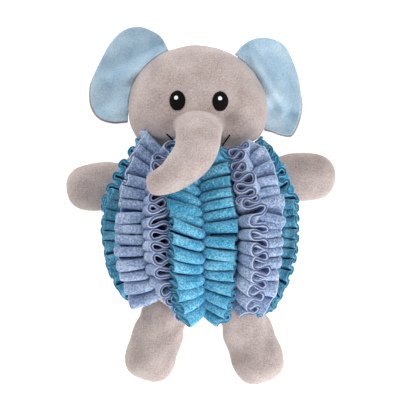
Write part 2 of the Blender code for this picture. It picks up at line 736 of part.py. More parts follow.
def clear_of_neighbours(point, squeeze):
    """Keeps a point of a ruffle clear of the ball, the head and the trunk that lies on the ruffles."""
    gap = FLEECE / 2 + PRESSED_CLEARANCE
    point = keep_outside_egg(point, HEAD_CENTRE, HALF_HEAD, gap)
    point = keep_outside_egg(point, BALL_CENTRE, HALF_BALL, FLEECE / 2 + 2 * SEWN_GAP)
    for index in range(1, len(squeeze) - 1):
        near, near_radius = squeeze[index]
        far, far_radius = squeeze[index + 1]
        way = far - near
        share = min(max((point - near).dot(way) / way.length_squared, 0), 1)
        centre = near + way * share
        reach = mix(near_radius, far_radius, share) + gap
        away = point - centre
        if away.length < reach:
            side = Vector((away.x, away.y, -abs(away.z) - near_radius)).normalized()
            drop = side * reach
            point = Vector((point.x, point.y, min(point.z, centre.z + drop.z)))
    return point


def between_stations(stations, rise):
    """Turn and leans of a strip at a rise, in radians, eased from each station to the next."""
    for near, far in zip(stations, stations[1:]):
        if rise <= far[0]:
            break
    share = smooth((rise - near[0]) / (far[0] - near[0]))
    return [math.radians(mix(first, last, share)) for first, last in zip(near[1:], far[1:])]


def make_ruffle(name, stations, left_width, right_width, material):
    """A fleece strip gathered down its middle seam, whose two wings fold in one serpentine.

    A station holds the seam's rise and turn on the ball, and each wing's lean from upright, in degrees."""
    middle_turn = math.radians(sum(station[1] for station in stations) / len(stations))
    start, end = math.radians(stations[0][0]), math.radians(stations[-1][0])
    folds, pitch, rise_at = seam_rises(middle_turn, start, end)
    seam_fold = fold_swing(math.radians(SEAM_BEND_DEG))
    wing_fold = fold_swing(math.radians(WING_BEND_DEG))
    centres, radii, tip = trunk_path()
    squeeze = list(zip(centres, radii)) + [(tip, radii[-1])]
    rows = [-share for share in reversed(WING_ROW_SHARES)] + [0.0] + list(WING_ROW_SHARES)
    vertices = []
    for fold in range(folds):
        for step in range(STEPS_PER_FOLD):
            even = (step + 0.5) / STEPS_PER_FOLD
            rise = rise_at((fold + even) * pitch)
            turn, left_lean, right_lean = between_stations(stations, math.degrees(rise))
            seat, onward, normal, sideways = ball_frame(turn, rise)
            for row in rows:
                fullness = smooth(abs(row) / WING_ROW_SHARES[0])
                seam_along, seam_across = seam_fold[step]
                wing_along, wing_across = wing_fold[step]
                along = mix(seam_along, wing_along, fullness)
                across = mix(seam_across * SEAM_SWING_SHARE, wing_across, fullness) * pitch
                sign, lean, width = (-1, left_lean, left_width) if row < 0 else (1, right_lean, right_width)
                rising = normal * math.cos(lean) + sideways * sign * math.sin(lean)
                facing = sideways * math.cos(lean) - normal * sign * math.sin(lean)
                facing = mix(sideways, facing, fullness).normalized()
                point = seat + normal * (FLEECE / 2 + 2 * SEWN_GAP) + rising * width * abs(row)
                point += onward * (along - even) * pitch + facing * across
                vertices.append(clear_of_neighbours(point, squeeze))
    faces = []
    count = len(rows)
    for column in range(folds * STEPS_PER_FOLD - 1):
        for row in range(count - 1):
            near, far = column * count + row, (column + 1) * count + row
            faces.append((near, near + 1, far + 1, far))
    strip = mesh_object(name, vertices, faces, material)
    strip.data.shade_smooth()
    give_wall(strip, FLEECE, 0.0)
    return strip


def make_ruffles():
    make_ruffle("ruffle_front", FRONT_STATIONS, FRONT_WING_WIDTH, WING_WIDTH, TURQUOISE_FLEECE)
    make_ruffle("ruffle_left_front", LEFT_FRONT_STATIONS, WING_WIDTH, WING_WIDTH, LILAC_FLEECE)
    make_ruffle("ruffle_right_front", RIGHT_FRONT_STATIONS, WING_WIDTH, WING_WIDTH, LILAC_FLEECE)
    make_ruffle("ruffle_left_side", LEFT_SIDE_STATIONS, LOWER_WING_WIDTH, SIDE_WING_WIDTH, TURQUOISE_FLEECE)
    right_stations = [(rise, -turn, right, left) for rise, turn, left, right in LEFT_SIDE_STATIONS]
    make_ruffle("ruffle_right_side", right_stations, SIDE_WING_WIDTH, LOWER_WING_WIDTH, TURQUOISE_FLEECE)


def build_toy():
    _, body_filling = make_ball()
    make_squeaker(body_filling)
    head_pieces = list(make_head()) + make_face()
    nape = NECK - Vector((0, 0, BALL_HALF_DEPTH * neck_share()))
    hang_on_axis("head", nape, head_pieces)
    trunk_pieces = make_trunk()
    root = trunk_path()[0][0]
    hang_on_axis("trunk", head_front(root.x, root.y + TRUNK_ROOT_HALF_LENGTH, SEWN_GAP), trunk_pieces)
    make_ear("left", -1, LEFT_EAR_SHARES)
    make_ear("right", 1, RIGHT_EAR_SHARES)
    make_limbs()
    make_ruffles()


build_toy()
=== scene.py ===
"""Plush snuffle toy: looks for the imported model, in the order in which the toy is sewn together."""

import json
import math

import bmesh
import bpy
import numpy as np
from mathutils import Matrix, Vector, noise

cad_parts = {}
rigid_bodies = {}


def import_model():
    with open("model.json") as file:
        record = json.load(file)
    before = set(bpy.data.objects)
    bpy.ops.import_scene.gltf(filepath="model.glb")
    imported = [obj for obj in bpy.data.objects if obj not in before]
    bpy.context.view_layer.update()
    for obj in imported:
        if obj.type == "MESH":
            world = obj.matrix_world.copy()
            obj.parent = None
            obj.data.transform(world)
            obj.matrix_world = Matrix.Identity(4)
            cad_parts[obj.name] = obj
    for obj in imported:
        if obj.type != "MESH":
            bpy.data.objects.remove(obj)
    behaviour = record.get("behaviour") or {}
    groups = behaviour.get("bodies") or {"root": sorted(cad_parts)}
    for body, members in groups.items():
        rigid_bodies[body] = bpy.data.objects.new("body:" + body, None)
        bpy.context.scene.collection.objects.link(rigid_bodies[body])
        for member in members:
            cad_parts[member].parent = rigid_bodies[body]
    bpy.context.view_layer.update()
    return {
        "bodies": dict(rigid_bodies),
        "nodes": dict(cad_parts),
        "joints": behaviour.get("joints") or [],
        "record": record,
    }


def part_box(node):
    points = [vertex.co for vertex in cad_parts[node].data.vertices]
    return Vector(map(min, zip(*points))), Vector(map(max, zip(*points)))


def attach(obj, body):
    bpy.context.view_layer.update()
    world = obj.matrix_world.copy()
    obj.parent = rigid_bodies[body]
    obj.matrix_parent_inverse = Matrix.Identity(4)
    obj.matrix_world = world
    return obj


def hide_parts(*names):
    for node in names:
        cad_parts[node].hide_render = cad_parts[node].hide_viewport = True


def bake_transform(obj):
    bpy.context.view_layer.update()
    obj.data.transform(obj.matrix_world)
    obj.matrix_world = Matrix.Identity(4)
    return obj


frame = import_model()
nodes = frame["nodes"]

# Camera, floor and light. The camera looks straight down on the toy, which lies on its back on a
# white floor. Three large soft boxes light it: one above it to the right, one low beyond its feet and
# one beyond its head, with white room light all round.
VIEW_WIDTH = 0.350
VIEW_PLANE_HEIGHT = 0.060
VIEW_MIDDLE = (-0.0026, 0.0245)
CAMERA_HEIGHT = 1.9
SENSOR_MM = 36.0
FLOOR_HALF = 3.0
FLOOR_DROP = 0.0002
KEY_PLACE = (0.8, 0.3, 0.95)
KEY_WIDTH = 0.7
KEY_WATTS = 4.3
FRONT_PLACE = (0.5, -1.1, 0.45)
FRONT_WIDTH = 0.9
FRONT_WATTS = 13.5
SIDE_PLACE = (-0.8, 0.9, 0.7)
SIDE_WIDTH = 0.9
SIDE_WATTS = 7.0
ROOM_STRENGTH = 0.52
FLOOR_GLOW = 0.5


def linear(colour):
    """The linear colour of an sRGB hex value such as "c0ffee"."""
    channels = [int(colour[place:place + 2], 16) / 255 for place in (0, 2, 4)]
    return [c / 12.92 if c <= 0.04045 else ((c + 0.055) / 1.055) ** 2.4 for c in channels] + [1]


def feed(node, inputs):
    """Gives a node's inputs their values or links; a node given stands for its first output in use."""
    for name, value in inputs.items():
        if isinstance(value, bpy.types.Node):
            value = next(socket for socket in value.outputs if socket.enabled)
        if isinstance(value, bpy.types.NodeSocket):
            node.id_data.links.new(value, node.inputs[name])
        else:
            node.inputs[name].default_value = value


def add_node(tree, kind, inputs=None, **settings):
    """Adds a node with its settings, and feeds its inputs."""
    node = tree.nodes.new(kind)
    for name, value in settings.items():
        setattr(node, name, value)
    feed(node, inputs or {})
    return node


def new_material(name):
    """A material with only its shader and output, ready for the nodes that feed them."""
    material = bpy.data.materials.new(name)
    material.use_nodes = True
    return material, material.node_tree, material.node_tree.nodes["Principled BSDF"]


camera = bpy.data.objects.new("camera", bpy.data.cameras.new("camera"))
camera.data.sensor_width = SENSOR_MM
camera.data.lens = SENSOR_MM * (CAMERA_HEIGHT - VIEW_PLANE_HEIGHT) / VIEW_WIDTH
camera.location = (*VIEW_MIDDLE, CAMERA_HEIGHT)
bpy.context.collection.objects.link(camera)
bpy.context.scene.camera = camera
bpy.context.scene.view_settings.view_transform = "Standard"


def add_soft_box(name, place, width, watts):
    light = bpy.data.objects.new(name, bpy.data.lights.new(name, "AREA"))
    light.data.energy = watts
    light.data.shape = "DISK"
    light.data.size = width
    light.location = place
    light.rotation_euler = (-Vector(place)).to_track_quat("-Z", "Y").to_euler()
    bpy.context.collection.objects.link(light)


add_soft_box("key_light", KEY_PLACE, KEY_WIDTH, KEY_WATTS)
add_soft_box("front_light", FRONT_PLACE, FRONT_WIDTH, FRONT_WATTS)
add_soft_box("side_light", SIDE_PLACE, SIDE_WIDTH, SIDE_WATTS)
room = bpy.context.scene.world or bpy.data.worlds.new("room")
bpy.context.scene.world = room
room.use_nodes = True
feed(room.node_tree.nodes["Background"], {"Color": linear("ffffff"), "Strength": ROOM_STRENGTH})

# Opal white acrylic sweep, lit from behind, so that the toy's shadows on it stay very faint
paper, _, paper_shader = new_material("opal_acrylic_sweep")
feed(paper_shader, {
    "Base Color": linear("f4f4f4"), "Roughness": 0.9,
    "Emission Color": linear("ffffff"), "Emission Strength": FLOOR_GLOW})
floor_mesh = bpy.data.meshes.new("floor")
floor_mesh.from_pydata(
    [(x * FLOOR_HALF, y * FLOOR_HALF, -FLOOR_DROP) for x, y in ((-1, -1), (1, -1), (1, 1), (-1, 1))],
    [], [(0, 1, 2, 3)])
floor_mesh.materials.append(paper)
floor = bpy.data.objects.new("floor", floor_mesh)
bpy.context.collection.objects.link(floor)

# Head skin. A stuffed egg of short-pile plush: a face panel sewn round its rim to two back panels,
# with fuller cheeks at its lower sides and hollows where the trunk's seam draws it in.
HEAD_MIDDLE = Vector((-0.0052, 0.1060, 0.0570))
HEAD_HALF = Vector((0.0600, 0.0540, 0.0490))
NECK_MIDDLE = Vector((0, 0.0675, 0.0550))
NECK_HALF = (0.0322, 0.0284)
HEAD_CUTS = 70
NECK_TUCK_REACH = 0.012
NECK_TUCK_SHARE = 0.8
NECK_SEAM_GAP = 0.0002
PLUSH_LUMP = 0.0005
PLUSH_LUMP_SIZE = 0.016
NAP_PATCH_SIZE = 0.018
SEAM_DEPTH = 0.0009
SEAM_HALF_WIDTH = 0.0013
# The face's forms fade out between this height below the middle and the same above, as a share
FACE_FADE = 0.25
# Place on the face, radius and height of each soft form in metres; below zero is a hollow
FACE_FORMS = (
    (0.049, 0.094, 0.022, 0.0036), (-0.054, 0.093, 0.020, 0.0014), (0.0262, 0.0912, 0.0095, -0.0095),
    (-0.0285, 0.087, 0.006, -0.0012), (-0.004, 0.1015, 0.011, 0.0012), (0.026, 0.072, 0.012, -0.002),
    (-0.034, 0.072, 0.012, -0.0015))


def smooth(share):
    share = np.clip(share, 0, 1)
    return share * share * (3 - 2 * share)


def mix(first, last, share):
    return first + (last - first) * share


def round_shell(cuts):
    """Directions and faces of a cube rounded to a ball, which has no poles."""
    work = bmesh.new()
    bmesh.ops.create_cube(work, size=2)
    bmesh.ops.subdivide_edges(work, edges=work.edges[:], cuts=cuts, use_grid_fill=True)
    bmesh.ops.recalc_face_normals(work, faces=work.faces)
    directions = [Vector([math.tan(c * math.pi / 4) for c in v.co]).normalized() for v in work.verts]
    faces = [[v.index for v in face.verts] for face in work.faces]
    work.free()
    return directions, faces


def new_piece(name, points, faces, material):
    """A smooth mesh object at the origin, with its place in its mesh."""
    mesh = bpy.data.meshes.new(name)
    mesh.from_pydata([tuple(point) for point in points], [], faces)
    mesh.materials.append(material)
    mesh.shade_smooth()
    piece = bpy.data.objects.new(name, mesh)
    bpy.context.collection.objects.link(piece)
    return piece


def lumps(point, size, seed):
    """Smooth unevenness from -1 to 1 with lumps of a size in metres."""
    return noise.noise(Vector(point) / size + Vector((seed, 0, 0)))


def stuffing_lumps(points, seed):
    """Moves points by the slight unevenness that loose stuffing gives a skin."""
    return [
        Vector(point) + PLUSH_LUMP * Vector([
            lumps(point, PLUSH_LUMP_SIZE, seed + way) for way in (0, 40, 80)])
        for point in points]


def pile_cloth(name, colour, shade, lit, clump, speckle, blotch, sheen, bump):
    """Cloth with a pile: its nap lies lighter or darker in patches, over clumps of fibres."""
    material, tree, shader = new_material(name)
    place = add_node(tree, "ShaderNodeTexCoord").outputs["Object"]
    patches = add_node(tree, "ShaderNodeTexNoise", {
        "Vector": place, "Scale": 1 / NAP_PATCH_SIZE, "Detail": 1.0})
    clumps = add_node(tree, "ShaderNodeTexNoise", {
        "Vector": place, "Scale": 1 / clump, "Detail": 4.0, "Roughness": 0.65})
    grain = add_node(tree, "ShaderNodeMapRange", {
        "Value": clumps, "From Min": 0.3, "From Max": 0.7, "To Min": -0.5, "To Max": 0.5})
    faint = add_node(tree, "ShaderNodeMapRange", {
        "Value": patches, "From Min": 0.3, "From Max": 0.7, "To Min": 0.5 - blotch, "To Max": 0.5 + blotch})
    tone = add_node(tree, "ShaderNodeMath", {0: grain, 1: speckle, 2: faint}, operation="MULTIPLY_ADD")
    colours = add_node(tree, "ShaderNodeValToRGB", {"Fac": tone})
    stops = colours.color_ramp.elements
    stops[0].position, stops[0].color = 0.22, linear(shade)
    stops[1].position, stops[1].color = 0.80, linear(lit)
    stops.new(0.5).color = linear(colour)
    fibres = add_node(tree, "ShaderNodeBump", {
        "Height": clumps, "Strength": bump, "Distance": clump * 0.6})
    feed(shader, {
        "Base Color": colours, "Normal": fibres, "Roughness": 0.95, "Specular IOR Level": 0.15,
        "Sheen Weight": sheen, "Sheen Roughness": 0.45})
    return material, colours


# Taupe short-pile polyester plush, brushed: soft dull nap with a pale glow where it turns away
taupe_plush, _ = pile_cloth(
    "brushed_taupe_plush", "b9aaa6", shade="9e8f8b", lit="cfc2be",
    clump=0.0013, speckle=0.55, blotch=0.12, sheen=0.35, bump=0.5)


def neck_tuck(point, outward):
    """Draws a skin in to the neck seam and keeps it on its own side of the seam."""
    reach = (point.y - NECK_MIDDLE.y) * outward
    if reach < NECK_TUCK_REACH:
        pull = smooth(1 - max(reach, 0) / NECK_TUCK_REACH)
        ring = Vector((point.x - NECK_MIDDLE.x, 0, point.z - NECK_MIDDLE.z))
        across = math.hypot(ring.x / NECK_HALF[0], ring.z / NECK_HALF[1])
        if across > 1:
            ring *= mix(1, 1 / across, pull * NECK_TUCK_SHARE)
        point = Vector((NECK_MIDDLE.x + ring.x, point.y, NECK_MIDDLE.z + ring.z))
    if reach < NECK_SEAM_GAP:
        point.y = NECK_MIDDLE.y + NECK_SEAM_GAP * outward
    return point


def egg_point(direction, middle, half):
    return middle + Vector([d * h for d, h in zip(direction, half)])


def face_form_height(point):
    height = 0
    for x, y, radius, rise in FACE_FORMS:
        away = math.hypot(point.x - x, point.y - y) / radius
        height += rise * math.exp(-away * away)
    return height


def seam_dent(point, middle):
    """Depth of the seams where a face panel, or two back panels, meet at a place on an egg."""
    away = [abs(point.z - middle.z)] + ([abs(point.x - middle.x)] if point.z < middle.z else [])
    return SEAM_DEPTH * math.exp(-(min(away) / SEAM_HALF_WIDTH) ** 2)


def head_point(direction):
    point = egg_point(direction, HEAD_MIDDLE, HEAD_HALF)
    outward = Vector([d / h for d, h in zip(direction, HEAD_HALF)]).normalized()
    front = smooth((direction.z + FACE_FADE) / (2 * FACE_FADE))
    point += outward * (face_form_height(point) * front - seam_dent(point, HEAD_MIDDLE))
    return neck_tuck(point, 1)


head_directions, head_faces = round_shell(HEAD_CUTS)
head_points = [head_point(direction) for direction in head_directions]
head_skin = new_piece("head_skin", stuffing_lumps(head_points, 3), head_faces, taupe_plush)
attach(head_skin, "head")
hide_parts("head_cover")

# Stuffing. Loose crimped polyester fibre, blown or pushed in by hand, fills every skin and takes its
# form; it is the white inside that shows only where a seam gives way.
STUFFING_DEPTH = 0.0024
STUFFING_CUTS = 24
TUFT_SIZE = 0.004


def patterned(name, kind, pattern, stops, looks, relief=None, **settings):
    """A material whose colour, and relief if it has any, follow one texture in its object's coordinates."""
    material, tree, shader = new_material(name)
    place = add_node(tree, "ShaderNodeTexCoord").outputs["Object"]
    texture = add_node(tree, kind, {"Vector": place, **pattern}, **settings).outputs["Fac"]
    colours = add_node(tree, "ShaderNodeValToRGB", {"Fac": texture})
    for stop, (position, colour) in zip(colours.color_ramp.elements, stops):
        stop.position, stop.color = position, linear(colour)
    feed(shader, {"Base Color": colours, **looks})
    if relief:
        feed(shader, {"Normal": add_node(tree, "ShaderNodeBump", {
            "Height": texture, "Strength": relief[0], "Distance": relief[1]})})
    return material


# Crimped polyester fibre: soft white tufts with no shine
polyester_fibre = patterned(
    "crimped_polyester_fibre", "ShaderNodeTexNoise",
    {"Scale": 1 / TUFT_SIZE, "Detail": 5.0, "Distortion": 1.2}, ((0.25, "d6d2ca"), (0.75, "f3f1ec")),
    {"Roughness": 1.0, "Sheen Weight": 0.3}, relief=(0.8, 0.001))


def add_stuffing(name, points, faces, holes=()):
    """The filling under a skin: the skin's own places, drawn in by the depth of its cloth and seams."""
    filling = new_piece(name, points, faces, polyester_fibre)
    work = bmesh.new()
    work.from_mesh(filling.data)
    bmesh.ops.recalc_face_normals(work, faces=work.faces)
    work.normal_update()
    for vertex in work.verts:
        vertex.co -= vertex.normal * STUFFING_DEPTH
    for hole_points, hole_faces in holes:
        corners = [work.verts.new(point) for point in hole_points]
        for face in hole_faces:
            work.faces.new([corners[index] for index in reversed(face)])
    work.to_mesh(filling.data)
    work.free()
    filling.data.shade_smooth()
    return filling


fill_directions, fill_faces = round_shell(STUFFING_CUTS)
head_fill_points = [head_point(direction) for direction in fill_directions]
head_fill = add_stuffing("head_stuffing", head_fill_points, fill_faces)
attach(head_fill, "head")
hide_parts("head_filling")


def face_height(x, y):
    """Height and outward direction of the face's skin above a place, for what is stitched on it."""
    across = ((x - HEAD_MIDDLE.x) / HEAD_HALF.x) ** 2 + ((y - HEAD_MIDDLE.y) / HEAD_HALF.y) ** 2
    point = Vector((x, y, HEAD_MIDDLE.z + HEAD_HALF.z * math.sqrt(1 - across)))
    outward = Vector([(p - c) / (h * h) for p, c, h in zip(point, HEAD_MIDDLE, HEAD_HALF)]).normalized()
    return point + outward * face_form_height(point), outward


# Eyes. Each is an oval of black satin stitch, laid thread beside thread straight on the plush over a
# low pad, with a small white stitched highlight on it.
EYE_SIZE = (0.0136, 0.0169)
EYE_SPACING = 0.00042
EYE_THREAD = 0.00030
EYE_PAD = 0.0011
EYE_LIFT = 0.0003
# The square of the shortest thread's share of its oval's width
SHORTEST_SQUARED = 0.02
HIGHLIGHT_SIZE = (0.0034, 0.0034)
HIGHLIGHT_PAD = 0.0007
EYE_PLACES = {"left": (-0.0218, 0.1094), "right": (0.0146, 0.1087)}
HIGHLIGHT_SHIFTS = {"left": (-0.0008, 0.0022), "right": (-0.0006, 0.0024)}


def new_stitch_tree(name, sizes):
    """An empty tree of geometry nodes with named inputs for sizes and the thread's material."""
    tree = bpy.data.node_groups.new(name, "GeometryNodeTree")
    tree.interface.new_socket(name="Geometry", in_out="INPUT", socket_type="NodeSocketGeometry")
    for size in sizes:
        tree.interface.new_socket(name=size, in_out="INPUT", socket_type="NodeSocketFloat")
    tree.interface.new_socket(name="Thread", in_out="INPUT", socket_type="NodeSocketMaterial")
    tree.interface.new_socket(name="Geometry", in_out="OUTPUT", socket_type="NodeSocketGeometry")
    return tree, add_node(tree, "NodeGroupInput").outputs


def finish_stitch_tree(tree, given, stitches):
    """Ends a tree with its stitches made real, in the thread's material."""
    real = add_node(tree, "GeometryNodeRealizeInstances", {"Geometry": stitches})
    thread = add_node(tree, "GeometryNodeSetMaterial", {"Geometry": real, "Material": given["Thread"]})
    add_node(tree, "NodeGroupOutput", {"Geometry": thread})
    return tree


def satin_stitch_tree():
    """Threads laid side by side across an oval, each as long as the oval is wide there."""
    tree, given = new_stitch_tree("satin_stitch", ("Width", "Height", "Spacing", "Thread Radius"))
    count = add_node(tree, "ShaderNodeMath", {
        0: given["Height"], 1: given["Spacing"]}, operation="DIVIDE")
    half = add_node(tree, "ShaderNodeMath", {0: given["Height"], 1: 0.5}, operation="MULTIPLY")
    step = add_node(tree, "ShaderNodeMath", {0: given["Spacing"], 1: -1.0}, operation="MULTIPLY")
    rows = add_node(tree, "GeometryNodeMeshLine", {
        "Count": count, "Start Location": add_node(tree, "ShaderNodeCombineXYZ", {"Y": half}),
        "Offset": add_node(tree, "ShaderNodeCombineXYZ", {"Y": step})}, mode="OFFSET")
    place = add_node(tree, "GeometryNodeInputPosition")
    across = add_node(tree, "ShaderNodeSeparateXYZ", {"Vector": place})
    share = add_node(tree, "ShaderNodeMath", {0: across.outputs["Y"], 1: half}, operation="DIVIDE")
    squared = add_node(tree, "ShaderNodeMath", {0: share, 1: share}, operation="MULTIPLY")
    rest = add_node(tree, "ShaderNodeMath", {0: 1.0, 1: squared}, operation="SUBTRACT")
    kept = add_node(tree, "ShaderNodeMath", {0: rest, 1: SHORTEST_SQUARED}, operation="MAXIMUM")
    chord = add_node(tree, "ShaderNodeMath", {0: kept}, operation="SQRT")
    uneven = add_node(tree, "FunctionNodeRandomValue", {
        "Min": 0.97, "Max": 1.02, "Seed": 5}, data_type="FLOAT")
    ragged = add_node(tree, "ShaderNodeMath", {0: chord, 1: uneven}, operation="MULTIPLY")
    long = add_node(tree, "ShaderNodeMath", {0: ragged, 1: given["Width"]}, operation="MULTIPLY")
    scale = add_node(tree, "ShaderNodeCombineXYZ", {
        "X": given["Thread Radius"], "Y": given["Thread Radius"], "Z": long})
    thread = add_node(tree, "GeometryNodeMeshCylinder", {
        "Vertices": 6, "Side Segments": 8, "Radius": 1.0, "Depth": 1.0}, fill_type="TRIANGLE_FAN")
    return finish_stitch_tree(tree, given, add_node(tree, "GeometryNodeInstanceOnPoints", {
        "Points": rows, "Instance": thread, "Rotation": (0, math.pi / 2, 0), "Scale": scale}))


def sewn(name, path, tree, **values):
    """A plain mesh of the stitches that a tree makes along a path of places."""
    mesh = bpy.data.meshes.new(name)
    mesh.from_pydata([tuple(place) for place in path], [(i, i + 1) for i in range(len(path) - 1)], [])
    piece = bpy.data.objects.new(name, mesh)
    bpy.context.collection.objects.link(piece)
    modifier = piece.modifiers.new("stitches", "NODES")
    modifier.node_group = tree
    for socket in tree.interface.items_tree:
        if socket.in_out == "INPUT" and socket.name != "Geometry":
            modifier[socket.identifier] = values[socket.name.lower().replace(" ", "_")]
    evaluated = piece.evaluated_get(bpy.context.evaluated_depsgraph_get())
    made = bpy.data.meshes.new_from_object(evaluated)
    piece.modifiers.clear()
    piece.data = made
    made.shade_smooth()
    return piece


def spun_thread(name, colour, lit, twist, roughness):
    """Thread of fine glossy filaments: thin lines that turn round it, lighter where a painted highlight
    stands in for the shine of its twist.
    """
    return patterned(
        name, "ShaderNodeTexWave", {"Scale": 1 / twist / 6.283, "Distortion": 2.0, "Detail": 2.0},
        ((0, colour), (1, lit)), {"Roughness": roughness, "Specular IOR Level": 0.15},
        relief=(0.3, 0.0001), bands_direction="DIAGONAL")


# Black rayon embroidery thread: deep black with a faint soft shine along the stitches, partly its own gloss
# and partly painted highlight
black_thread = spun_thread("black_rayon_thread", "020202", "0a0a0b", 0.0004, 0.7)
# White rayon embroidery thread: bright white with the same shine, partly its own gloss and partly painted
# highlight
white_thread = spun_thread("white_rayon_thread", "f2f2f2", "ffffff", 0.0004, 0.5)
satin_stitch = satin_stitch_tree()


def lay_on_face(piece, middle, size, pad, lift):
    """Bends a flat oval of stitches over its pad and the face under it."""
    for vertex in piece.data.vertices:
        x, y, z = vertex.co
        crown = max(1 - (2 * x / size[0]) ** 2 - (2 * y / size[1]) ** 2, 0) ** 0.5
        seat, outward = face_height(middle[0] + x, middle[1] + y)
        vertex.co = seat + outward * (z + lift + pad * crown)


for side, middle in EYE_PLACES.items():
    spot_place = [place + shift for place, shift in zip(middle, HIGHLIGHT_SHIFTS[side])]
    for node, place, size, pad, lift, thread, slot in (
            ("eye_", middle, EYE_SIZE, EYE_PAD, EYE_LIFT, black_thread, "black_thread"),
            ("eye_highlight_", spot_place, HIGHLIGHT_SIZE, HIGHLIGHT_PAD, EYE_PAD + EYE_THREAD,
             white_thread, "white_thread")):
        piece = sewn(
            node + side + "_stitches", [(0, 0, 0), (0, size[1], 0)], satin_stitch, width=size[0],
            height=size[1], spacing=EYE_SPACING, thread_radius=EYE_THREAD, thread=thread)
        lay_on_face(piece, place, size, pad, lift)
        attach(piece, "head")
        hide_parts(node + side)

# Mouth. Two short lines of backstitch in doubled black thread, one on each side of the trunk, sewn
# through the plush of the face before it is stuffed.
MOUTH_PITCH = 0.0026
MOUTH_OVERLAP = 1.5
MOUTH_THREAD = 0.00070
MOUTH_LIFT_SHARE = 0.7
MOUTH_STEPS = 12
MOUTH_LINES = {
    "left": ((-0.0308, 0.0803), (-0.0217, 0.0713)), "right": ((0.0234, 0.0788), (0.0150, 0.0690))}


def stitch_row_tree():
    """Stitches end to end along a path, each a thread that dips into the cloth at its ends."""
    tree, given = new_stitch_tree("stitch_row", ("Pitch", "Stitch Share", "Thread Radius"))
    path = add_node(tree, "GeometryNodeMeshToCurve", {"Mesh": given["Geometry"]})
    spaced = add_node(tree, "GeometryNodeResampleCurve", {
        "Curve": path, "Length": given["Pitch"]}, mode="LENGTH")
    way = add_node(tree, "GeometryNodeInputTangent")
    turned = add_node(tree, "FunctionNodeAlignRotationToVector", {"Vector": way}, axis="Z")
    length = add_node(tree, "ShaderNodeMath", {
        0: given["Pitch"], 1: given["Stitch Share"]}, operation="MULTIPLY")
    half = add_node(tree, "ShaderNodeMath", {0: length, 1: 0.5}, operation="MULTIPLY")
    scale = add_node(tree, "ShaderNodeCombineXYZ", {
        "X": given["Thread Radius"], "Y": given["Thread Radius"], "Z": half})
    stitch = add_node(tree, "GeometryNodeMeshUVSphere", {"Segments": 8, "Rings": 6, "Radius": 1.0})
    return finish_stitch_tree(tree, given, add_node(tree, "GeometryNodeInstanceOnPoints", {
        "Points": spaced, "Instance": stitch, "Rotation": turned, "Scale": scale}))


stitch_row = stitch_row_tree()
for side, (start, end) in MOUTH_LINES.items():
    line = []
    for step in range(MOUTH_STEPS + 1):
        seat, outward = face_height(*[mix(a, b, step / MOUTH_STEPS) for a, b in zip(start, end)])
        line.append(seat + outward * MOUTH_THREAD * MOUTH_LIFT_SHARE)
    mouth = sewn("mouth_" + side + "_stitches", line, stitch_row, pitch=MOUTH_PITCH / MOUTH_OVERLAP,
                 stitch_share=MOUTH_OVERLAP, thread_radius=MOUTH_THREAD, thread=black_thread)
    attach(mouth, "head")
    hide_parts("mouth_" + side)

# Trunk skin. A tapering tube of the same plush, stuffed firm and sewn to the face round its root; it
# rises, bends over and lies down across the ruffles.
TRUNK_ROOT = Vector((-0.0035, 0.0875, 0.1020))
TRUNK_LENGTH = 0.0500
TRUNK_RISE = 0.0385
TRUNK_SWING = 0.0435
TRUNK_ROOT_HALF_WIDTH = 0.0217
TRUNK_ROOT_HALF_LENGTH = 0.0150
TRUNK_SECTION_SHARE = 0.86
TRUNK_SEAT_DEPTH = 0.0012
TRUNK_SKIN_DEPTH = 0.006
TRUNK_FILL_DEPTH = 0.004
# Share of the length, sideways swing, rise and share of the root's half width, root to tip
TRUNK_STATIONS = (
    (-0.06, 0.0, -0.03, 1.10), (0.0, 0.0, 0.10, 1.01), (0.05, 0.01, 0.32, 0.93), (0.14, 0.01, 0.62, 0.89),
    (0.32, 0.03, 0.84, 0.87), (0.54, 0.13, 0.95, 0.81), (0.74, 0.34, 1.0, 0.71), (0.88, 0.54, 1.0, 0.61),
    (0.96, 0.75, 0.99, 0.53), (0.985, 0.87, 0.98, 0.46), (0.995, 0.95, 0.975, 0.36),
    (1.0, 0.99, 0.97, 0.22))
TRUNK_TIP = (1.003, 1.003, 0.97)
TRUNK_FILL_TIP = (0.99, 0.96, 0.97)
# Stations over which the trunk's section turns along its bend and goes from flatter to rounder
TRUNK_TURN_STATIONS = 5
TRUNK_OVAL_STATIONS = 4
TUBE_SIDES = 56
RINGS_PER_STATION = 6
SEATED_RINGS = 12


def trunk_place(along, swing, rise):
    return TRUNK_ROOT + Vector((-TRUNK_SWING * swing, -TRUNK_LENGTH * along, TRUNK_RISE * rise))


def ring_points(middle, side, up):
    """A ring of places about a middle; side and up are its half-size vectors."""
    turns = [2 * math.pi * step / TUBE_SIDES for step in range(TUBE_SIDES)]
    return np.array([middle + side * math.cos(turn) + up * math.sin(turn) for turn in turns])


def rounded_through(rows, steps):
    """Rows of places eased by a smooth curve through every row, with steps between each two."""
    rows = np.array(rows)
    ends = np.concatenate([[2 * rows[0] - rows[1]], rows, [2 * rows[-1] - rows[-2]]])
    result = []
    for index in range(len(rows) - 1):
        before, near, far, after = ends[index:index + 4]
        for step in range(steps):
            t = step / steps
            result.append(0.5 * (
                2 * near + (far - before) * t + (2 * before - 5 * near + 4 * far - after) * t * t
                + (3 * near - before - 3 * far + after) * t ** 3))
    result.append(rows[-1])
    return np.array(result)


def tube_faces(ring_count, sides):
    """Faces between rings of a tube, to one point past its last ring, and to one at its root."""
    faces = []
    for ring in range(ring_count - 1):
        for side in range(sides):
            near, far, onward = ring * sides, (ring + 1) * sides, (side + 1) % sides
            faces.append((near + side, near + onward, far + onward, far + side))
    last, tip = (ring_count - 1) * sides, ring_count * sides
    faces += [(last + side, last + (side + 1) % sides, tip) for side in range(sides)]
    return faces + [((side + 1) % sides, side, tip + 1) for side in range(sides)]


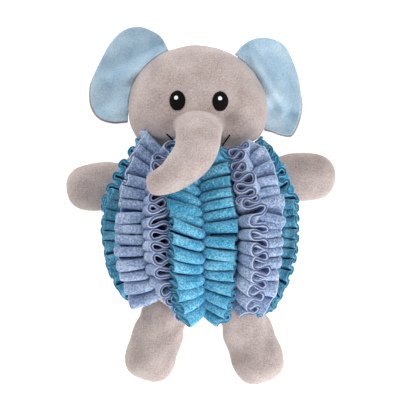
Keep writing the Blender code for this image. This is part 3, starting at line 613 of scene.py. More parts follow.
def faced_outwards(piece):
    """Turns all the faces of a closed piece outwards."""
    work = bmesh.new()
    work.from_mesh(piece.data)
    bmesh.ops.recalc_face_normals(work, faces=work.faces)
    work.to_mesh(piece.data)
    work.free()
    return piece


def tube_points(rings, tip, root_middle):
    return [Vector(point) for point in rings.reshape(-1, 3)] + [Vector(tip), Vector(root_middle)]


def tube_skin(name, rings, tip, root_middle, seed):
    """A closed plush skin over rings of places, uneven from its stuffing."""
    points = stuffing_lumps(tube_points(rings, tip, root_middle), seed)
    return faced_outwards(new_piece(name, points, tube_faces(*rings.shape[:2]), taupe_plush))


def trunk_rings():
    middles = [trunk_place(*station[:3]) for station in TRUNK_STATIONS]
    ways = [middles[0] - Vector((0, 0, TRUNK_FILL_DEPTH))] + middles + [trunk_place(*TRUNK_TIP)]
    rings = []
    for index, (middle, station) in enumerate(zip(middles, TRUNK_STATIONS)):
        half = TRUNK_ROOT_HALF_WIDTH * station[3]
        heading = (ways[index + 2] - ways[index]).normalized()
        turned = heading.cross(Vector((0, 0, -1)))
        side = mix(Vector((1, 0, 0)), turned, float(smooth(index / TRUNK_TURN_STATIONS))).normalized()
        side = (side - heading * side.dot(heading)).normalized()
        up = heading.cross(side).normalized()
        if side.x < 0:
            side = -side
        if up.dot(Vector((0, 1, 1))) < 0:
            up = -up
        flat = mix(TRUNK_SECTION_SHARE * TRUNK_ROOT_HALF_LENGTH / TRUNK_ROOT_HALF_WIDTH,
                   TRUNK_SECTION_SHARE, float(smooth(index / TRUNK_OVAL_STATIONS)))
        rings.append(ring_points(middle, side * half, up * half * flat))
    return rounded_through(rings, RINGS_PER_STATION)


def seated_on_face(rings):
    """Lets the trunk's first rings follow the face, so that its root has no step."""
    for index, ring in enumerate(rings[:SEATED_RINGS]):
        hold = float(smooth(1 - index / SEATED_RINGS))
        for place in ring:
            seat, _ = face_height(place[0], place[1])
            place[2] = mix(place[2], seat.z - TRUNK_SEAT_DEPTH, hold)
    return rings


trunk_rings_seated = seated_on_face(trunk_rings())
trunk_skin = tube_skin(
    "trunk_skin", trunk_rings_seated, trunk_place(*TRUNK_TIP),
    TRUNK_ROOT - Vector((0, 0, TRUNK_SKIN_DEPTH)), seed=11)
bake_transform(trunk_skin)
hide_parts("trunk_cover")


def add_tube_stuffing(name, rings, tip, root_middle):
    """The filling of a tube: every third ring and every fourth place of its skin, drawn in."""
    coarse = rings[1::3, ::4]
    return add_stuffing(name, tube_points(coarse, tip, root_middle), tube_faces(*coarse.shape[:2]))


trunk_fill = add_tube_stuffing(
    "trunk_stuffing", trunk_rings_seated[:-4], trunk_place(*TRUNK_FILL_TIP),
    TRUNK_ROOT - Vector((0, 0, TRUNK_FILL_DEPTH)))
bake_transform(trunk_fill)
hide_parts("trunk_filling")

# Body skin. The ball that everything is sewn to, of the same plush, pressed flat where it lies on its
# back; its neck is sewn to the head's.
BODY_MIDDLE = Vector((0, 0, 0.055))
BODY_HALF = Vector((0.0685, 0.0765, 0.0603))
BODY_CUTS = 60
BODY_FLOOR = 0.0001


def body_point(direction):
    point = egg_point(direction, BODY_MIDDLE, BODY_HALF)
    point -= (point - BODY_MIDDLE).normalized() * seam_dent(point, BODY_MIDDLE)
    point.z = max(point.z, BODY_FLOOR)
    return neck_tuck(point, -1)


body_directions, body_faces = round_shell(BODY_CUTS)
body_points = stuffing_lumps([body_point(direction) for direction in body_directions], 5)
for body_place in body_points:
    body_place.z = max(body_place.z, BODY_FLOOR)
body_skin = new_piece("body_skin", body_points, body_faces, taupe_plush)
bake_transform(body_skin)
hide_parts("body_cover")

# Squeaker. A small bellows bulb of soft blow-moulded vinyl with a reed tube in its neck, tucked into a
# pocket of the body's stuffing.
POCKET_GAP = 0.0012
POCKET_CUTS = 8
POCKET_HALF_SHARE = 0.62
HAZE_SIZE = 0.006
bulb_low, bulb_high = [Vector(corner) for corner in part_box("squeaker_bulb")]
reed_low, reed_high = [Vector(corner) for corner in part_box("squeaker_reed")]
pocket_low = Vector([min(pair) - POCKET_GAP for pair in zip(bulb_low, reed_low)])
pocket_high = Vector([max(pair) + POCKET_GAP for pair in zip(bulb_high, reed_high)])
pocket_directions, pocket_faces = round_shell(POCKET_CUTS)
pocket_points = [
    egg_point(direction, (pocket_low + pocket_high) / 2, (pocket_high - pocket_low) * POCKET_HALF_SHARE)
    for direction in pocket_directions]
body_fill_points = [body_point(direction) for direction in fill_directions]
body_fill = add_stuffing("body_stuffing", body_fill_points, fill_faces, [(pocket_points, pocket_faces)])
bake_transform(body_fill)
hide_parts("body_filling")

# Blow-moulded vinyl: cloudy off-white with a soft gloss
vinyl = patterned(
    "blow_moulded_vinyl", "ShaderNodeTexNoise", {"Scale": 1 / HAZE_SIZE, "Detail": 2.0},
    ((0.3, "cbc6b6"), (0.7, "dbd7ca")), {"Roughness": 0.45, "IOR": 1.53})
for squeaker_node in ("squeaker_bulb", "squeaker_reed"):
    for material_slot in nodes[squeaker_node].material_slots:
        material_slot.material = vinyl

# Ruffles. Five strips of thick brushed fleece, cut raw, each gathered on a thread down its middle and
# sewn to the ball there, so that its two wings stand up in plump folds with a gutter between them.
FLEECE_HALF = 0.00155
FLEECE_LUMP = 0.00035
FLEECE_LUMP_SIZE = 0.0035
FOLD_COLUMNS = 36
WING_ROWS = 20
FOLD_TABLE_STEPS = 96
FOLD_BENDS = np.linspace(0.8, 2.1, 27)
FOLD_ROUNDNESS = 0.6
SEAM_BEND = 1.3
SEAM_SWING_SHARE = 0.55
FULL_FOLD_SHARE = 0.24
FOLD_GROWTH = (0.92, 1.05)
SEAM_PATH_STEPS = 600
EDGE_TURNS = np.radians([30, 60, 90, 120, 150])
EDGE_BULGE = 0.85
# Painted shade in the creases: how far the cloth turns from a fold's crest before its colour starts to
# darken, and over how much more it reaches full
PAINTED_SHADE_FROM = 0.05
PAINTED_SHADE_SPAN = 0.6
# Room between the fleece and the ball at its seam, the ball elsewhere, the head, the trunk and the floor
SEAM_GAP = 0.0006
BALL_GAP = 0.0003
HEAD_GAP = 0.0022
TRUNK_GAP = 0.0012
FLOOR_GAP = 0.0002
# How far chance changes a fold's width, depth, bend, slant, place along the strip, lean and reach
WIDTH_CHANCE = 0.14
DEPTH_CHANCE = 0.18
BEND_CHANCE = 0.06
TIP_CHANCE = 0.45
DRIFT_CHANCE = 0.0036
LEAN_CHANCE = math.radians(5)
REACH_CHANCE = 0.06
# Chance is read along straight lines through a noise, a gap apart for each seed. They run between
# its whole numbers, where it is always 0. Each pace is how fast a chance changes from fold to fold.
CHANCE_LINE_GAP = 7.31
CHANCE_LINE_HEIGHT = 0.37
CHANCE_GAIN = 1.6
WIDTH_PACE = 1.7
WING_PACES = (0.9, 0.7, 1.1, 0.45, 0.8)
DRIFT_POWER = 1.3


def unit(vectors):
    return vectors / np.maximum(np.linalg.norm(vectors, axis=-1, keepdims=True), 1e-12)


def wander(places, seed):
    """Smooth chance from -1 to 1 for places along a line, with a new value about every 1."""
    line = [Vector((float(place), CHANCE_LINE_GAP * seed, CHANCE_LINE_HEIGHT)) for place in places]
    return np.array([CHANCE_GAIN * noise.noise(place) for place in line])


def fold_table():
    """Serpentine folds of unit pitch, one for each bend: places along and across by step."""
    steps = (np.arange(FOLD_TABLE_STEPS) + 0.5) / FOLD_TABLE_STEPS
    table = []
    for bend in FOLD_BENDS:
        angle = bend * np.tanh(FOLD_ROUNDNESS * np.sin(2 * np.pi * steps)) / math.tanh(FOLD_ROUNDNESS)
        along = np.concatenate([[0], np.cumsum(np.cos(angle))])
        across = np.concatenate([[0], np.cumsum(np.sin(angle))])
        across -= (across.max() + across.min()) / 2
        table.append((along / along[-1], across / along[-1]))
    return np.array(table)


FOLDS = fold_table()


def fold_places(bend, phase):
    """Places along and across a fold for arrays of bends and phases, read between the table's rows."""
    row = np.clip((bend - FOLD_BENDS[0]) / (FOLD_BENDS[1] - FOLD_BENDS[0]), 0, len(FOLD_BENDS) - 1.001)
    step = np.clip(phase * FOLD_TABLE_STEPS, 0, FOLD_TABLE_STEPS - 1e-6)
    near_row, near_step = row.astype(int), step.astype(int)
    found = []
    for values in (FOLDS[:, 0], FOLDS[:, 1]):
        low, high = [
            mix(values[index, near_step], values[index, near_step + 1], step - near_step)
            for index in (near_row, near_row + 1)]
        found.append(mix(low, high, row - near_row))
    return found


def ball_seats(turn, rise):
    """Places on the ball by turn from the front and rise towards the neck, and the ways out of it."""
    half = np.array(BODY_HALF)
    place = half * np.stack([np.cos(rise) * np.sin(turn), np.sin(rise), np.cos(rise) * np.cos(turn)], -1)
    return np.array(BODY_MIDDLE) + place, unit(place / half ** 2)


def station_values(stations, rise):
    """The values of a strip's stations at each rise, eased from station to station."""
    rows = np.array(stations, dtype=float)
    index = np.clip(np.searchsorted(rows[:, 0], rise) - 1, 0, len(rows) - 2)
    share = smooth((rise - rows[index, 0]) / (rows[index + 1, 0] - rows[index, 0]))
    return mix(rows[index, 1:], rows[index + 1, 1:], share[..., None]).T


def outside_egg(points, middle, half, gap):
    """Moves points that are in an egg, or closer to it than the gap, straight out of it."""
    middle, half = np.array(middle), np.array(half)
    away = points - middle
    surface = away / np.linalg.norm(away / half, axis=-1, keepdims=True)
    close = np.linalg.norm(away, axis=-1) < np.linalg.norm(surface, axis=-1) + gap
    return np.where(close[..., None], middle + surface + unit(surface / half ** 2) * gap, points)


def under_trunk(points, gap):
    """Presses points down out of the trunk that lies over them."""
    middles = [np.array(trunk_place(*station[:3])) for station in TRUNK_STATIONS]
    radii = [TRUNK_ROOT_HALF_WIDTH * station[3] for station in TRUNK_STATIONS]
    for near, far, near_radius, far_radius in list(zip(middles, middles[1:], radii, radii[1:]))[2:]:
        way = far - near
        share = np.clip(((points - near) @ way) / (way @ way), 0, 1)
        centre = near + way * share[..., None]
        reach = mix(near_radius, far_radius, share) + gap
        away = points - centre
        close = np.linalg.norm(away, axis=-1) < reach
        below = np.stack([away[..., 0], away[..., 1], -np.abs(away[..., 2]) - near_radius], -1)
        pressed_and_painted_shade = centre[..., 2] + unit(below)[..., 2] * reach
        points[..., 2] = np.where(close, np.minimum(points[..., 2], pressed_and_painted_shade), points[..., 2])
    return points


def thick_sheet(name, grid, half, material, crest=None):
    """A closed cloth about a grid of places. Attribute rim rises to 1 midway round its long edges.
    Where folds' crests are given as directions, a mask of painted shade rises to 1 deep between two folds,
    to darken the cloth's colour where shade falls."""
    normals = unit(np.cross(np.gradient(grid, axis=0), np.gradient(grid, axis=1)))
    edges = []
    for edge, inner, order in ((-1, -2, EDGE_TURNS), (0, 1, EDGE_TURNS[::-1])):
        out = unit(grid[:, edge] - grid[:, inner])[:, None]
        up, order = normals[:, edge][:, None], order[:, None]
        edges.append(
            grid[:, edge][:, None] + half * (up * np.cos(order) + EDGE_BULGE * out * np.sin(order)))
    loops = np.concatenate(
        [grid + normals * half, edges[0], (grid - normals * half)[:, ::-1], edges[1]], axis=1)
    columns, count = loops.shape[:2]
    rows = grid.shape[1]
    start = np.arange(columns - 1)[:, None] * count + np.arange(count)
    onward = np.arange(columns - 1)[:, None] * count + np.roll(np.arange(count), -1)
    faces = np.stack([start, onward, onward + count, start + count], -1).reshape(-1, 4).tolist()
    for first in (0, (columns - 1) * count):
        for row in range(rows - 1):
            under = 2 * rows + 4 - row
            faces.append([first + row, first + row + 1, first + under - 1, first + under])
        faces.append([first + place for place in range(rows - 1, rows + 6)])
        faces.append([first + place for place in range(2 * rows + 4, count)] + [first])
    sheet = new_piece(name, loops.reshape(-1, 3), faces, material)
    rim = np.zeros((columns, count), dtype=np.float32)
    rim[:, rows:rows + 5] = rim[:, count - 5:] = np.sin(EDGE_TURNS)
    sheet.data.attributes.new("rim", "FLOAT", "POINT").data.foreach_set("value", rim.ravel())
    # Painted shade: deep in the creases between folds, a mask from 0 to 1 that darkens the cloth's colour
    # where shade falls
    if crest is not None:
        up = (normals * crest).sum(axis=-1)
        pressed_and_painted_shade = np.zeros((columns, count), dtype=np.float32)
        pressed_and_painted_shade[:, :rows] = smooth((-up - PAINTED_SHADE_FROM) / PAINTED_SHADE_SPAN)
        pressed_and_painted_shade[:, rows + 5:2 * rows + 5] = smooth((up - PAINTED_SHADE_FROM) / PAINTED_SHADE_SPAN)[:, ::-1]
        sheet.data.attributes.new("pressed_and_painted_shade", "FLOAT", "POINT").data.foreach_set("value", pressed_and_painted_shade.ravel())
    return faced_outwards(sheet)


def seam_line(stations, pitches, seed):
    """Widths of a strip's folds along its seam, and the seam's rises by length from its lower end."""
    rises = np.linspace(stations[0][0], stations[-1][0], SEAM_PATH_STEPS)
    turns = np.radians(station_values(stations, rises)[0])
    places, _ = ball_seats(turns, np.radians(rises))
    lengths = np.concatenate([[0], np.cumsum(np.linalg.norm(np.diff(places, axis=0), axis=1))])
    shares, usual = zip(*pitches)
    widths = []
    while sum(widths) < lengths[-1] - usual[-1] / 2:
        chance = wander([WIDTH_PACE * len(widths)], seed)[0]
        width = np.interp(sum(widths) / lengths[-1], shares, usual)
        widths.append(width * (1 + WIDTH_CHANCE * chance))
    return np.array(widths) * lengths[-1] / sum(widths), lengths, rises


def ruffle_grid(stations, wings, pitches, seed):
    """The middle surface of a strip: columns along its seam, rows from the left edge to the right."""
    widths, lengths, rises = seam_line(stations, pitches, seed)
    count = len(widths) * FOLD_COLUMNS + 1
    turned = np.arange(count) / FOLD_COLUMNS
    fold = np.minimum(turned.astype(int), len(widths) - 1)
    phase = np.broadcast_to((turned - fold)[:, None], (count, WING_ROWS + 1))
    starts = np.concatenate([[0], np.cumsum(widths)])
    rise = np.interp(starts[fold] + phase[:, 0] * widths[fold], lengths, rises)
    pitch = np.interp(turned, np.arange(len(widths)) + 0.5, widths)[:, None]
    turn, *leans = np.radians(station_values(stations, rise))
    seat, normal = ball_seats(turn, np.radians(rise))
    onward = unit(np.gradient(seat, axis=0))
    sideways = unit(np.cross(onward, normal))
    seat, onward, normal, sideways = [frame[:, None] for frame in (seat, onward, normal, sideways)]
    reach = np.linspace(0, 1, WING_ROWS + 1)[None]
    full = smooth(reach / FULL_FOLD_SHARE)
    grids, crests = [], []
    for wing, (sign, lean, form) in enumerate(zip((-1, 1), leans, wings)):
        chance = [wander(turned * pace, seed + 10 * wing + place)[:, None]
                  for place, pace in enumerate(WING_PACES)]
        form = np.array(form)
        wing_width, depth, bend, bow, drift = [
            np.interp(turned / len(widths), form[:, 0], form[:, column])[:, None] for column in range(1, 6)]
        along, across = fold_places(mix(SEAM_BEND, bend + BEND_CHANCE * chance[0], full), phase)
        spread = 1 + reach * wing_width * np.cos(lean)[:, None] / BODY_HALF.x
        deep = depth * (1 + DEPTH_CHANCE * chance[1]) * mix(*FOLD_GROWTH, reach)
        across = across * pitch * mix(SEAM_SWING_SHARE, deep, full)
        along = (along - phase) * pitch * spread
        tipping = TIP_CHANCE * chance[2] * reach
        crest = across / np.abs(across).max()
        along, across = along + across * np.sin(tipping), across * np.cos(tipping)
        lean = (lean[:, None] + LEAN_CHANCE * chance[3])[..., None]
        rising = normal * np.cos(lean) + sideways * sign * np.sin(lean)
        flank = sideways * np.cos(lean) - normal * sign * np.sin(lean)
        facing = unit(mix(sideways, flank, full[..., None]))
        points = seat + normal * (FLEECE_HALF + SEAM_GAP)
        points = points + rising * (reach * wing_width * (1 + REACH_CHANCE * chance[4]))[..., None]
        drifting = (drift + DRIFT_CHANCE * chance[3]) * reach ** DRIFT_POWER
        points = points + onward * (along + drifting)[..., None]
        grids.append(points + facing * (across - sign * bow * np.sin(np.pi * reach))[..., None])
        crests.append(facing * crest[..., None])
    grid, crest = [np.concatenate([sides[0][:, :0:-1], sides[1]], axis=1) for sides in (grids, crests)]
    rough = grid + FLEECE_LUMP * np.array([
        [lumps(place, FLEECE_LUMP_SIZE, seed + way) for way in (0, 30, 60)]
        for place in grid.reshape(-1, 3)]).reshape(grid.shape)
    rough = outside_egg(rough, HEAD_MIDDLE, HEAD_HALF, FLEECE_HALF + HEAD_GAP)
    rough = outside_egg(rough, BODY_MIDDLE, BODY_HALF, FLEECE_HALF + BALL_GAP)
    rough = under_trunk(rough, FLEECE_HALF + TRUNK_GAP)
    rough[..., 2] = np.maximum(rough[..., 2], FLEECE_HALF + FLOOR_GAP)
    return rough, crest


def brushed_fleece(name, face, shade, lit, deep, edge, core):
    """Thick fleece: a speckled nap with painted shade deep in the creases between its folds, and where it
    is cut a fuzzy edge about its dark knitted core.
    """
    material, colours = pile_cloth(
        name, face, shade, lit, clump=0.0016, speckle=0.75, blotch=0.12, sheen=0.15, bump=0.8)
    tree = material.node_tree
    rim = add_node(tree, "ShaderNodeAttribute", attribute_name="rim").outputs["Fac"]
    pressed_and_painted_shade = add_node(tree, "ShaderNodeAttribute", attribute_name="pressed_and_painted_shade").outputs["Fac"]
    cut = add_node(tree, "ShaderNodeValToRGB", {"Fac": rim})
    stops = cut.color_ramp.elements
    stops[0].position, stops[0].color = 0.60, linear(edge)
    stops[1].position, stops[1].color = 0.90, linear(core)
    near_cut = add_node(tree, "ShaderNodeMapRange", {"Value": rim, "From Min": 0.05, "From Max": 0.5})
    # Painted shade: deep in the creases between folds, the nap's colour turns nearly all the way to the
    # deep colour
    depth = add_node(tree, "ShaderNodeMath", {0: pressed_and_painted_shade, 1: 0.95}, operation="MULTIPLY")
    nap = add_node(tree, "ShaderNodeMix", {0: depth, "A": colours, "B": linear(deep)}, data_type="RGBA")
    cloth = add_node(tree, "ShaderNodeMix", {0: near_cut, "A": nap, "B": cut}, data_type="RGBA")
    feed(tree.nodes["Principled BSDF"], {"Base Color": cloth})
    return material


# Turquoise polyester fleece, brushed both sides: mottled matt nap, dark teal along its raw edge, and its
# deep colour painted shade in the creases between folds
turquoise_fleece = brushed_fleece(
    "brushed_turquoise_fleece", "58afd3", shade="2880ac", lit="9ad6ec", deep="022c4a",
    edge="6db4d2", core="1a6488")
# Lilac polyester fleece of the same kind, whose raw edge shows pale, dark and pale again, and whose deep
# colour is painted shade in the creases between folds
lilac_fleece = brushed_fleece(
    "brushed_lilac_fleece", "98adce", shade="6b82ad", lit="ccdaee", deep="30447a",
    edge="d0d8ec", core="50628d")

# Rise of the seam towards the neck and its turn from the front, then how far the left and the right
# wing lean out from upright, in degrees, from the feet up
FRONT_STATIONS = (
    (-55, 0, 33, 33), (-46, 0, 44, 48), (-35, 0, 60, 66), (-12, 0, 68, 78), (0, 0, 74, 78),
    (25, -2, 75, 76), (46, -4, 56, 50))
LEFT_FRONT_STATIONS = (
    (-48, -45, 50, 58), (-25, -43, 62, 63), (0, -42, 68, 60), (12, -43, 62, 60), (24, -44, 32, 58),
    (38, -46, 28, 46), (52, -46, 32, 46), (66, -38, 38, 46))
RIGHT_FRONT_STATIONS = (
    (-46, 42, 18, 44), (-25, 37, 18, 62), (0, 36, 20, 68), (15, 40, 50, 68), (35, 42, 52, 50),
    (51, 43, 30, 22))
LEFT_SIDE_STATIONS = (
    (-44, -82, 50, 2), (-20, -84, 70, 0), (0, -84, 70, 0), (12, -87, 40, 12), (28, -90, 12, 50),
    (57, -88, 3, 35))
RIGHT_SIDE_STATIONS = (
    (-54, 79, 2, 50), (-20, 82, 8, 72), (0, 82, 8, 72), (12, 85, 18, 40), (28, 88, 50, 12),
    (57, 88, 35, 3))
# Share of the strip upwards, then the wing's width, the depth of its folds as a share of the usual,
# their bend, the wing's bow and the drift of its folds towards the neck
FRONT_LEFT_WING = (
    (0, 0.025, 1.0, 1.80, 0.002, -0.002), (0.15, 0.030, 1.0, 1.92, 0.0025, 0.004),
    (0.28, 0.029, 1.0, 1.92, 0.003, 0.007), (0.36, 0.029, 1.4, 1.80, 0.003, 0.009),
    (0.50, 0.029, 1.3, 1.82, 0.003, 0.010), (0.58, 0.029, 1.0, 1.92, 0.003, 0.010),
    (0.8, 0.031, 1.0, 1.92, 0.003, 0.009), (1, 0.028, 0.9, 1.8, 0.002, 0.002))
FRONT_RIGHT_WING = (
    (0, 0.028, 1.0, 1.75, 0.002, -0.002), (0.2, 0.028, 1.1, 1.74, 0.0025, 0.000),
    (0.5, 0.028, 1.1, 1.74, 0.003, 0.002), (0.75, 0.028, 1.1, 1.74, 0.003, 0.006),
    (1, 0.028, 1.0, 1.9, 0.002, 0.002))
LEFT_OUTER_WING = (
    (0, 0.029, 1.0, 1.75, 0.002, -0.001), (0.3, 0.027, 1.05, 1.76, 0.0025, 0.0),
    (0.6, 0.025, 1.0, 1.80, 0.0025, 0.0), (0.70, 0.024, 1.0, 1.85, 0, 0.0),
    (0.84, 0.025, 0.9, 1.6, 0, 0.001), (0.95, 0.026, 0.7, 1.3, 0.001, 0.004),
    (1, 0.020, 0.5, 1.2, 0.001, 0.006))
LEFT_UPRIGHT_WING = (
    (0, 0.026, 0.9, 1.6, -0.002, -0.009), (0.05, 0.028, 1.0, 1.8, -0.002, -0.006),
    (0.15, 0.028, 1.1, 1.95, -0.002, -0.003), (0.5, 0.028, 1.1, 1.95, -0.003, 0.002),
    (0.74, 0.027, 1.0, 1.90, -0.002, 0.001), (0.84, 0.028, 0.9, 1.6, 0.001, 0.001),
    (0.94, 0.027, 0.7, 1.2, 0.002, 0.005), (1, 0.017, 0.4, 0.9, 0.002, 0.006))
RIGHT_UPRIGHT_WING = (
    (0, 0.029, 0.9, 1.6, -0.006, -0.004), (0.12, 0.028, 1.0, 1.93, -0.007, -0.002),
    (0.5, 0.028, 1.05, 1.93, -0.007, 0.001), (0.75, 0.028, 0.9, 1.95, -0.002, 0.002),
    (0.93, 0.028, 0.9, 1.9, 0, 0.002), (1, 0.022, 0.7, 1.6, 0, -0.001))
RIGHT_OUTER_WING = (
    (0, 0.026, 1.0, 1.75, 0.002, -0.002), (0.3, 0.025, 1.05, 1.76, 0.0025, 0.0),
    (0.55, 0.025, 1.05, 1.76, 0.0025, 0.001), (0.75, 0.022, 1.05, 1.76, 0.0025, 0.002),
    (0.93, 0.023, 0.9, 1.6, 0.001, 0.002), (1, 0.017, 0.7, 1.4, 0.001, -0.001))
LEFT_UPPER_SIDE_WING = (
    (0, 0.013, 0.7, 1.5, 0.002, -0.001), (0.08, 0.018, 1.05, 1.7, 0.003, -0.002),
    (0.15, 0.018, 1.05, 1.76, 0.003, 0), (0.5, 0.017, 1.05, 1.76, 0.003, 0),
    (0.65, 0.018, 1.0, 1.8, 0.001, 0), (0.93, 0.024, 1.0, 1.6, 0, 0.003), (1, 0.022, 0.7, 1.4, 0, 0.005))
RIGHT_UPPER_SIDE_WING = (
    (0, 0.015, 0.7, 1.5, 0.002, -0.001), (0.10, 0.020, 0.9, 1.7, 0.003, -0.002),
    (0.22, 0.015, 0.9, 1.7, 0.003, 0), (0.5, 0.0115, 0.9, 1.7, 0.003, 0), (0.65, 0.013, 1.0, 1.8, 0.001, 0),
    (0.93, 0.018, 1.0, 1.6, 0, 0.003), (1, 0.016, 0.7, 1.4, 0, 0.005))
LOWER_SIDE_WING = (
    (0, 0.012, 0.7, 1.7, 0.001, 0), (0.6, 0.012, 0.7, 1.7, 0.001, 0), (1, 0.017, 0.8, 1.8, 0.001, 0))
SIDE_PITCHES = ((0, 0.0076), (1, 0.0086))
# Stations, wings, pitch of the folds by share of the strip, seed, width and length of the strip as it
# is cut, cloth and slot
RUFFLES = {
    "front": (
        FRONT_STATIONS, (FRONT_LEFT_WING, FRONT_RIGHT_WING),
        ((0, 0.0088), (0.1, 0.0078), (0.27, 0.0080), (0.33, 0.0093), (0.48, 0.0093), (0.55, 0.0080),
         (1, 0.0084)),
        1, (0.060, 0.45), turquoise_fleece, "turquoise_fleece"),
    "left_front": (
        LEFT_FRONT_STATIONS, (LEFT_OUTER_WING, LEFT_UPRIGHT_WING),
        ((0, 0.0100), (0.15, 0.0084), (0.7, 0.0086), (0.82, 0.0110), (0.9, 0.0150), (1, 0.0170)),
        2, (0.053, 0.445), lilac_fleece, "lilac_fleece"),
    "right_front": (
        RIGHT_FRONT_STATIONS, (RIGHT_UPRIGHT_WING, RIGHT_OUTER_WING),
        ((0, 0.0150), (0.08, 0.0110), (0.14, 0.0080), (0.6, 0.0081), (0.8, 0.0096), (1, 0.0110)),
        3, (0.054, 0.41), lilac_fleece, "lilac_fleece"),
    "left_side": (
        LEFT_SIDE_STATIONS, (LOWER_SIDE_WING, LEFT_UPPER_SIDE_WING), SIDE_PITCHES,
        4, (0.034, 0.335), turquoise_fleece, "turquoise_fleece"),
    "right_side": (
        RIGHT_SIDE_STATIONS, (RIGHT_UPPER_SIDE_WING, LOWER_SIDE_WING), SIDE_PITCHES,
        5, (0.032, 0.345), turquoise_fleece, "turquoise_fleece")}
for ruffle_name, (stations, wings, pitches, seed, cut_size, cloth, cloth_slot) in RUFFLES.items():
    middle_surface, crest = ruffle_grid(stations, wings, pitches, seed)
    ruffle = thick_sheet("ruffle_" + ruffle_name + "_cloth", middle_surface, FLEECE_HALF, cloth, crest)
    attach(ruffle, "torso")
    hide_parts("ruffle_" + ruffle_name)

# Gathering stitches. A row of strong thread runs down the gutter of each strip: it draws the fleece up
# into its folds and holds it to the ball.
GATHER_PITCH = 0.0034
GATHER_SHARE = 0.8
GATHER_THREAD = 0.00040
GATHER_LIFT = 0.0008
GATHER_STEPS = 80
# Spun polyester sewing thread in the colours of the cloth, with a dull twist whose lighter lines are
# painted highlight
teal_thread = spun_thread("spun_teal_thread", "1b6c91", "3f9cc0", 0.0005, 0.8)
grey_blue_thread = spun_thread("spun_grey_blue_thread", "5c6d98", "93a2c8", 0.0005, 0.8)
taupe_thread = spun_thread("spun_taupe_thread", "8d7f7a", "b0a29c", 0.0005, 0.8)
for ruffle_name, (stations, _, _, _, _, _, cloth_slot) in RUFFLES.items():
    rises = np.linspace(stations[0][0] + 1, stations[-1][0] - 1, GATHER_STEPS)
    places, outward = ball_seats(np.radians(station_values(stations, rises)[0]), np.radians(rises))
    row = sewn(
        "ruffle_" + ruffle_name + "_stitches", places + outward * (2 * FLEECE_HALF + GATHER_LIFT),
        stitch_row, pitch=GATHER_PITCH, stitch_share=GATHER_SHARE, thread_radius=GATHER_THREAD,
        thread=teal_thread if cloth_slot == "turquoise_fleece" else grey_blue_thread)
    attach(row, "torso")

# Closing seam. The gap in the ball's back edge through which it is stuffed is drawn shut by hand with
# ladder stitches of taupe thread, between the legs.
CLOSING_RISES = (-34, -66)
CLOSING_STEPS = 40
CLOSING_LIFT = 0.0001
CLOSING_PITCH = 0.0030
CLOSING_SHARE = 0.75
CLOSING_THREAD = 0.0005
closing_rises = np.radians(np.linspace(*CLOSING_RISES, CLOSING_STEPS))
closing_path, closing_outward = ball_seats(np.full(CLOSING_STEPS, math.pi), closing_rises)
closing = sewn(
    "closing_stitches", closing_path + closing_outward * CLOSING_LIFT, stitch_row, pitch=CLOSING_PITCH,
    stitch_share=CLOSING_SHARE, thread_radius=CLOSING_THREAD, thread=taupe_thread)
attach(closing, "torso")

# Arms and legs. Stuffed bags of the same plush, turned right side out and sewn into the ball's seams;
# they hang down to the floor, and their feet and hands are rounder and fuller than their roots.
ARM_LENGTH = 0.0712
ARM_WIDTH = 0.0430
ARM_THICKNESS = 0.0330
LEG_LENGTH = 0.0755
LEG_WIDTH = 0.0460
LEG_THICKNESS = 0.0350
LIMB_DROOP_SHARE = 0.6
RINGS_PER_LIMB_STATION = 7
LIMB_SEAM_DEPTH = 0.0009
LIMB_BALL_GAP = 0.0003
LIMB_FLOOR = 0.0006
LIMB_FILL_SHORT = 0.0016
# Size of the creases that run across a limb near its root, how they bow and how soon they fade
CREASE_SIZE = 0.0052
CREASE_BOW = 900
CREASE_FADE_SHARE = 0.4
# Share of the length, of the full width and of the full thickness, root to tip
ARM_STATIONS = (
    (0.0, 0.26, 0.26), (0.06, 0.50, 0.32), (0.18, 0.70, 0.46), (0.38, 0.94, 0.74), (0.60, 1.01, 1.0),
    (0.80, 0.92, 0.95), (0.90, 0.75, 0.78), (0.96, 0.53, 0.58), (0.99, 0.30, 0.33))
LEG_STATIONS = (
    (0.0, 0.60, 0.24), (0.12, 0.80, 0.48), (0.30, 0.94, 0.74), (0.52, 0.98, 0.94), (0.72, 1.00, 1.0),
    (0.86, 0.90, 0.89), (0.94, 0.70, 0.66), (0.985, 0.42, 0.38))
# Root, heading, length, width, thickness, stations, depth of the creases and seed
LIMBS = {
    "arm_left": (
        (-0.05178, 0.0417, 0.032), (-1, -0.12), ARM_LENGTH, ARM_WIDTH, ARM_THICKNESS, ARM_STATIONS,
        0.0, 21),
    "arm_right": (
        (0.04892, 0.0453, 0.032), (1, 0), ARM_LENGTH * 0.98, ARM_WIDTH, ARM_THICKNESS, ARM_STATIONS,
        0.0, 22),
    "leg_left": (
        (-0.03, -0.06471, 0.036), (-0.33, -1), LEG_LENGTH, LEG_WIDTH, LEG_THICKNESS, LEG_STATIONS,
        0.0014, 23),
    "leg_right": (
        (0.03, -0.06471, 0.036), (0.36, -1), LEG_LENGTH * 1.04, LEG_WIDTH, LEG_THICKNESS, LEG_STATIONS,
        0.0014, 24)}


def limb_rings(root, way, length, width, thickness, stations):
    """Rings of a limb that droops from its root to lie on the floor, and its tip."""
    root, heading = Vector(root), Vector((*way, 0)).normalized()
    side = Vector((-heading.y, heading.x, 0))
    rings = []
    for along, broad, thick in stations:
        half = thickness * thick / 2
        middle = root + heading * length * along
        middle.z = max(mix(root.z, thickness / 2, float(smooth(along / LIMB_DROOP_SHARE))), half)
        rings.append(ring_points(middle, side * width * broad / 2, Vector((0, 0, half))))
    tip = root + heading * length
    return rings, Vector((tip.x, tip.y, thickness / 2))


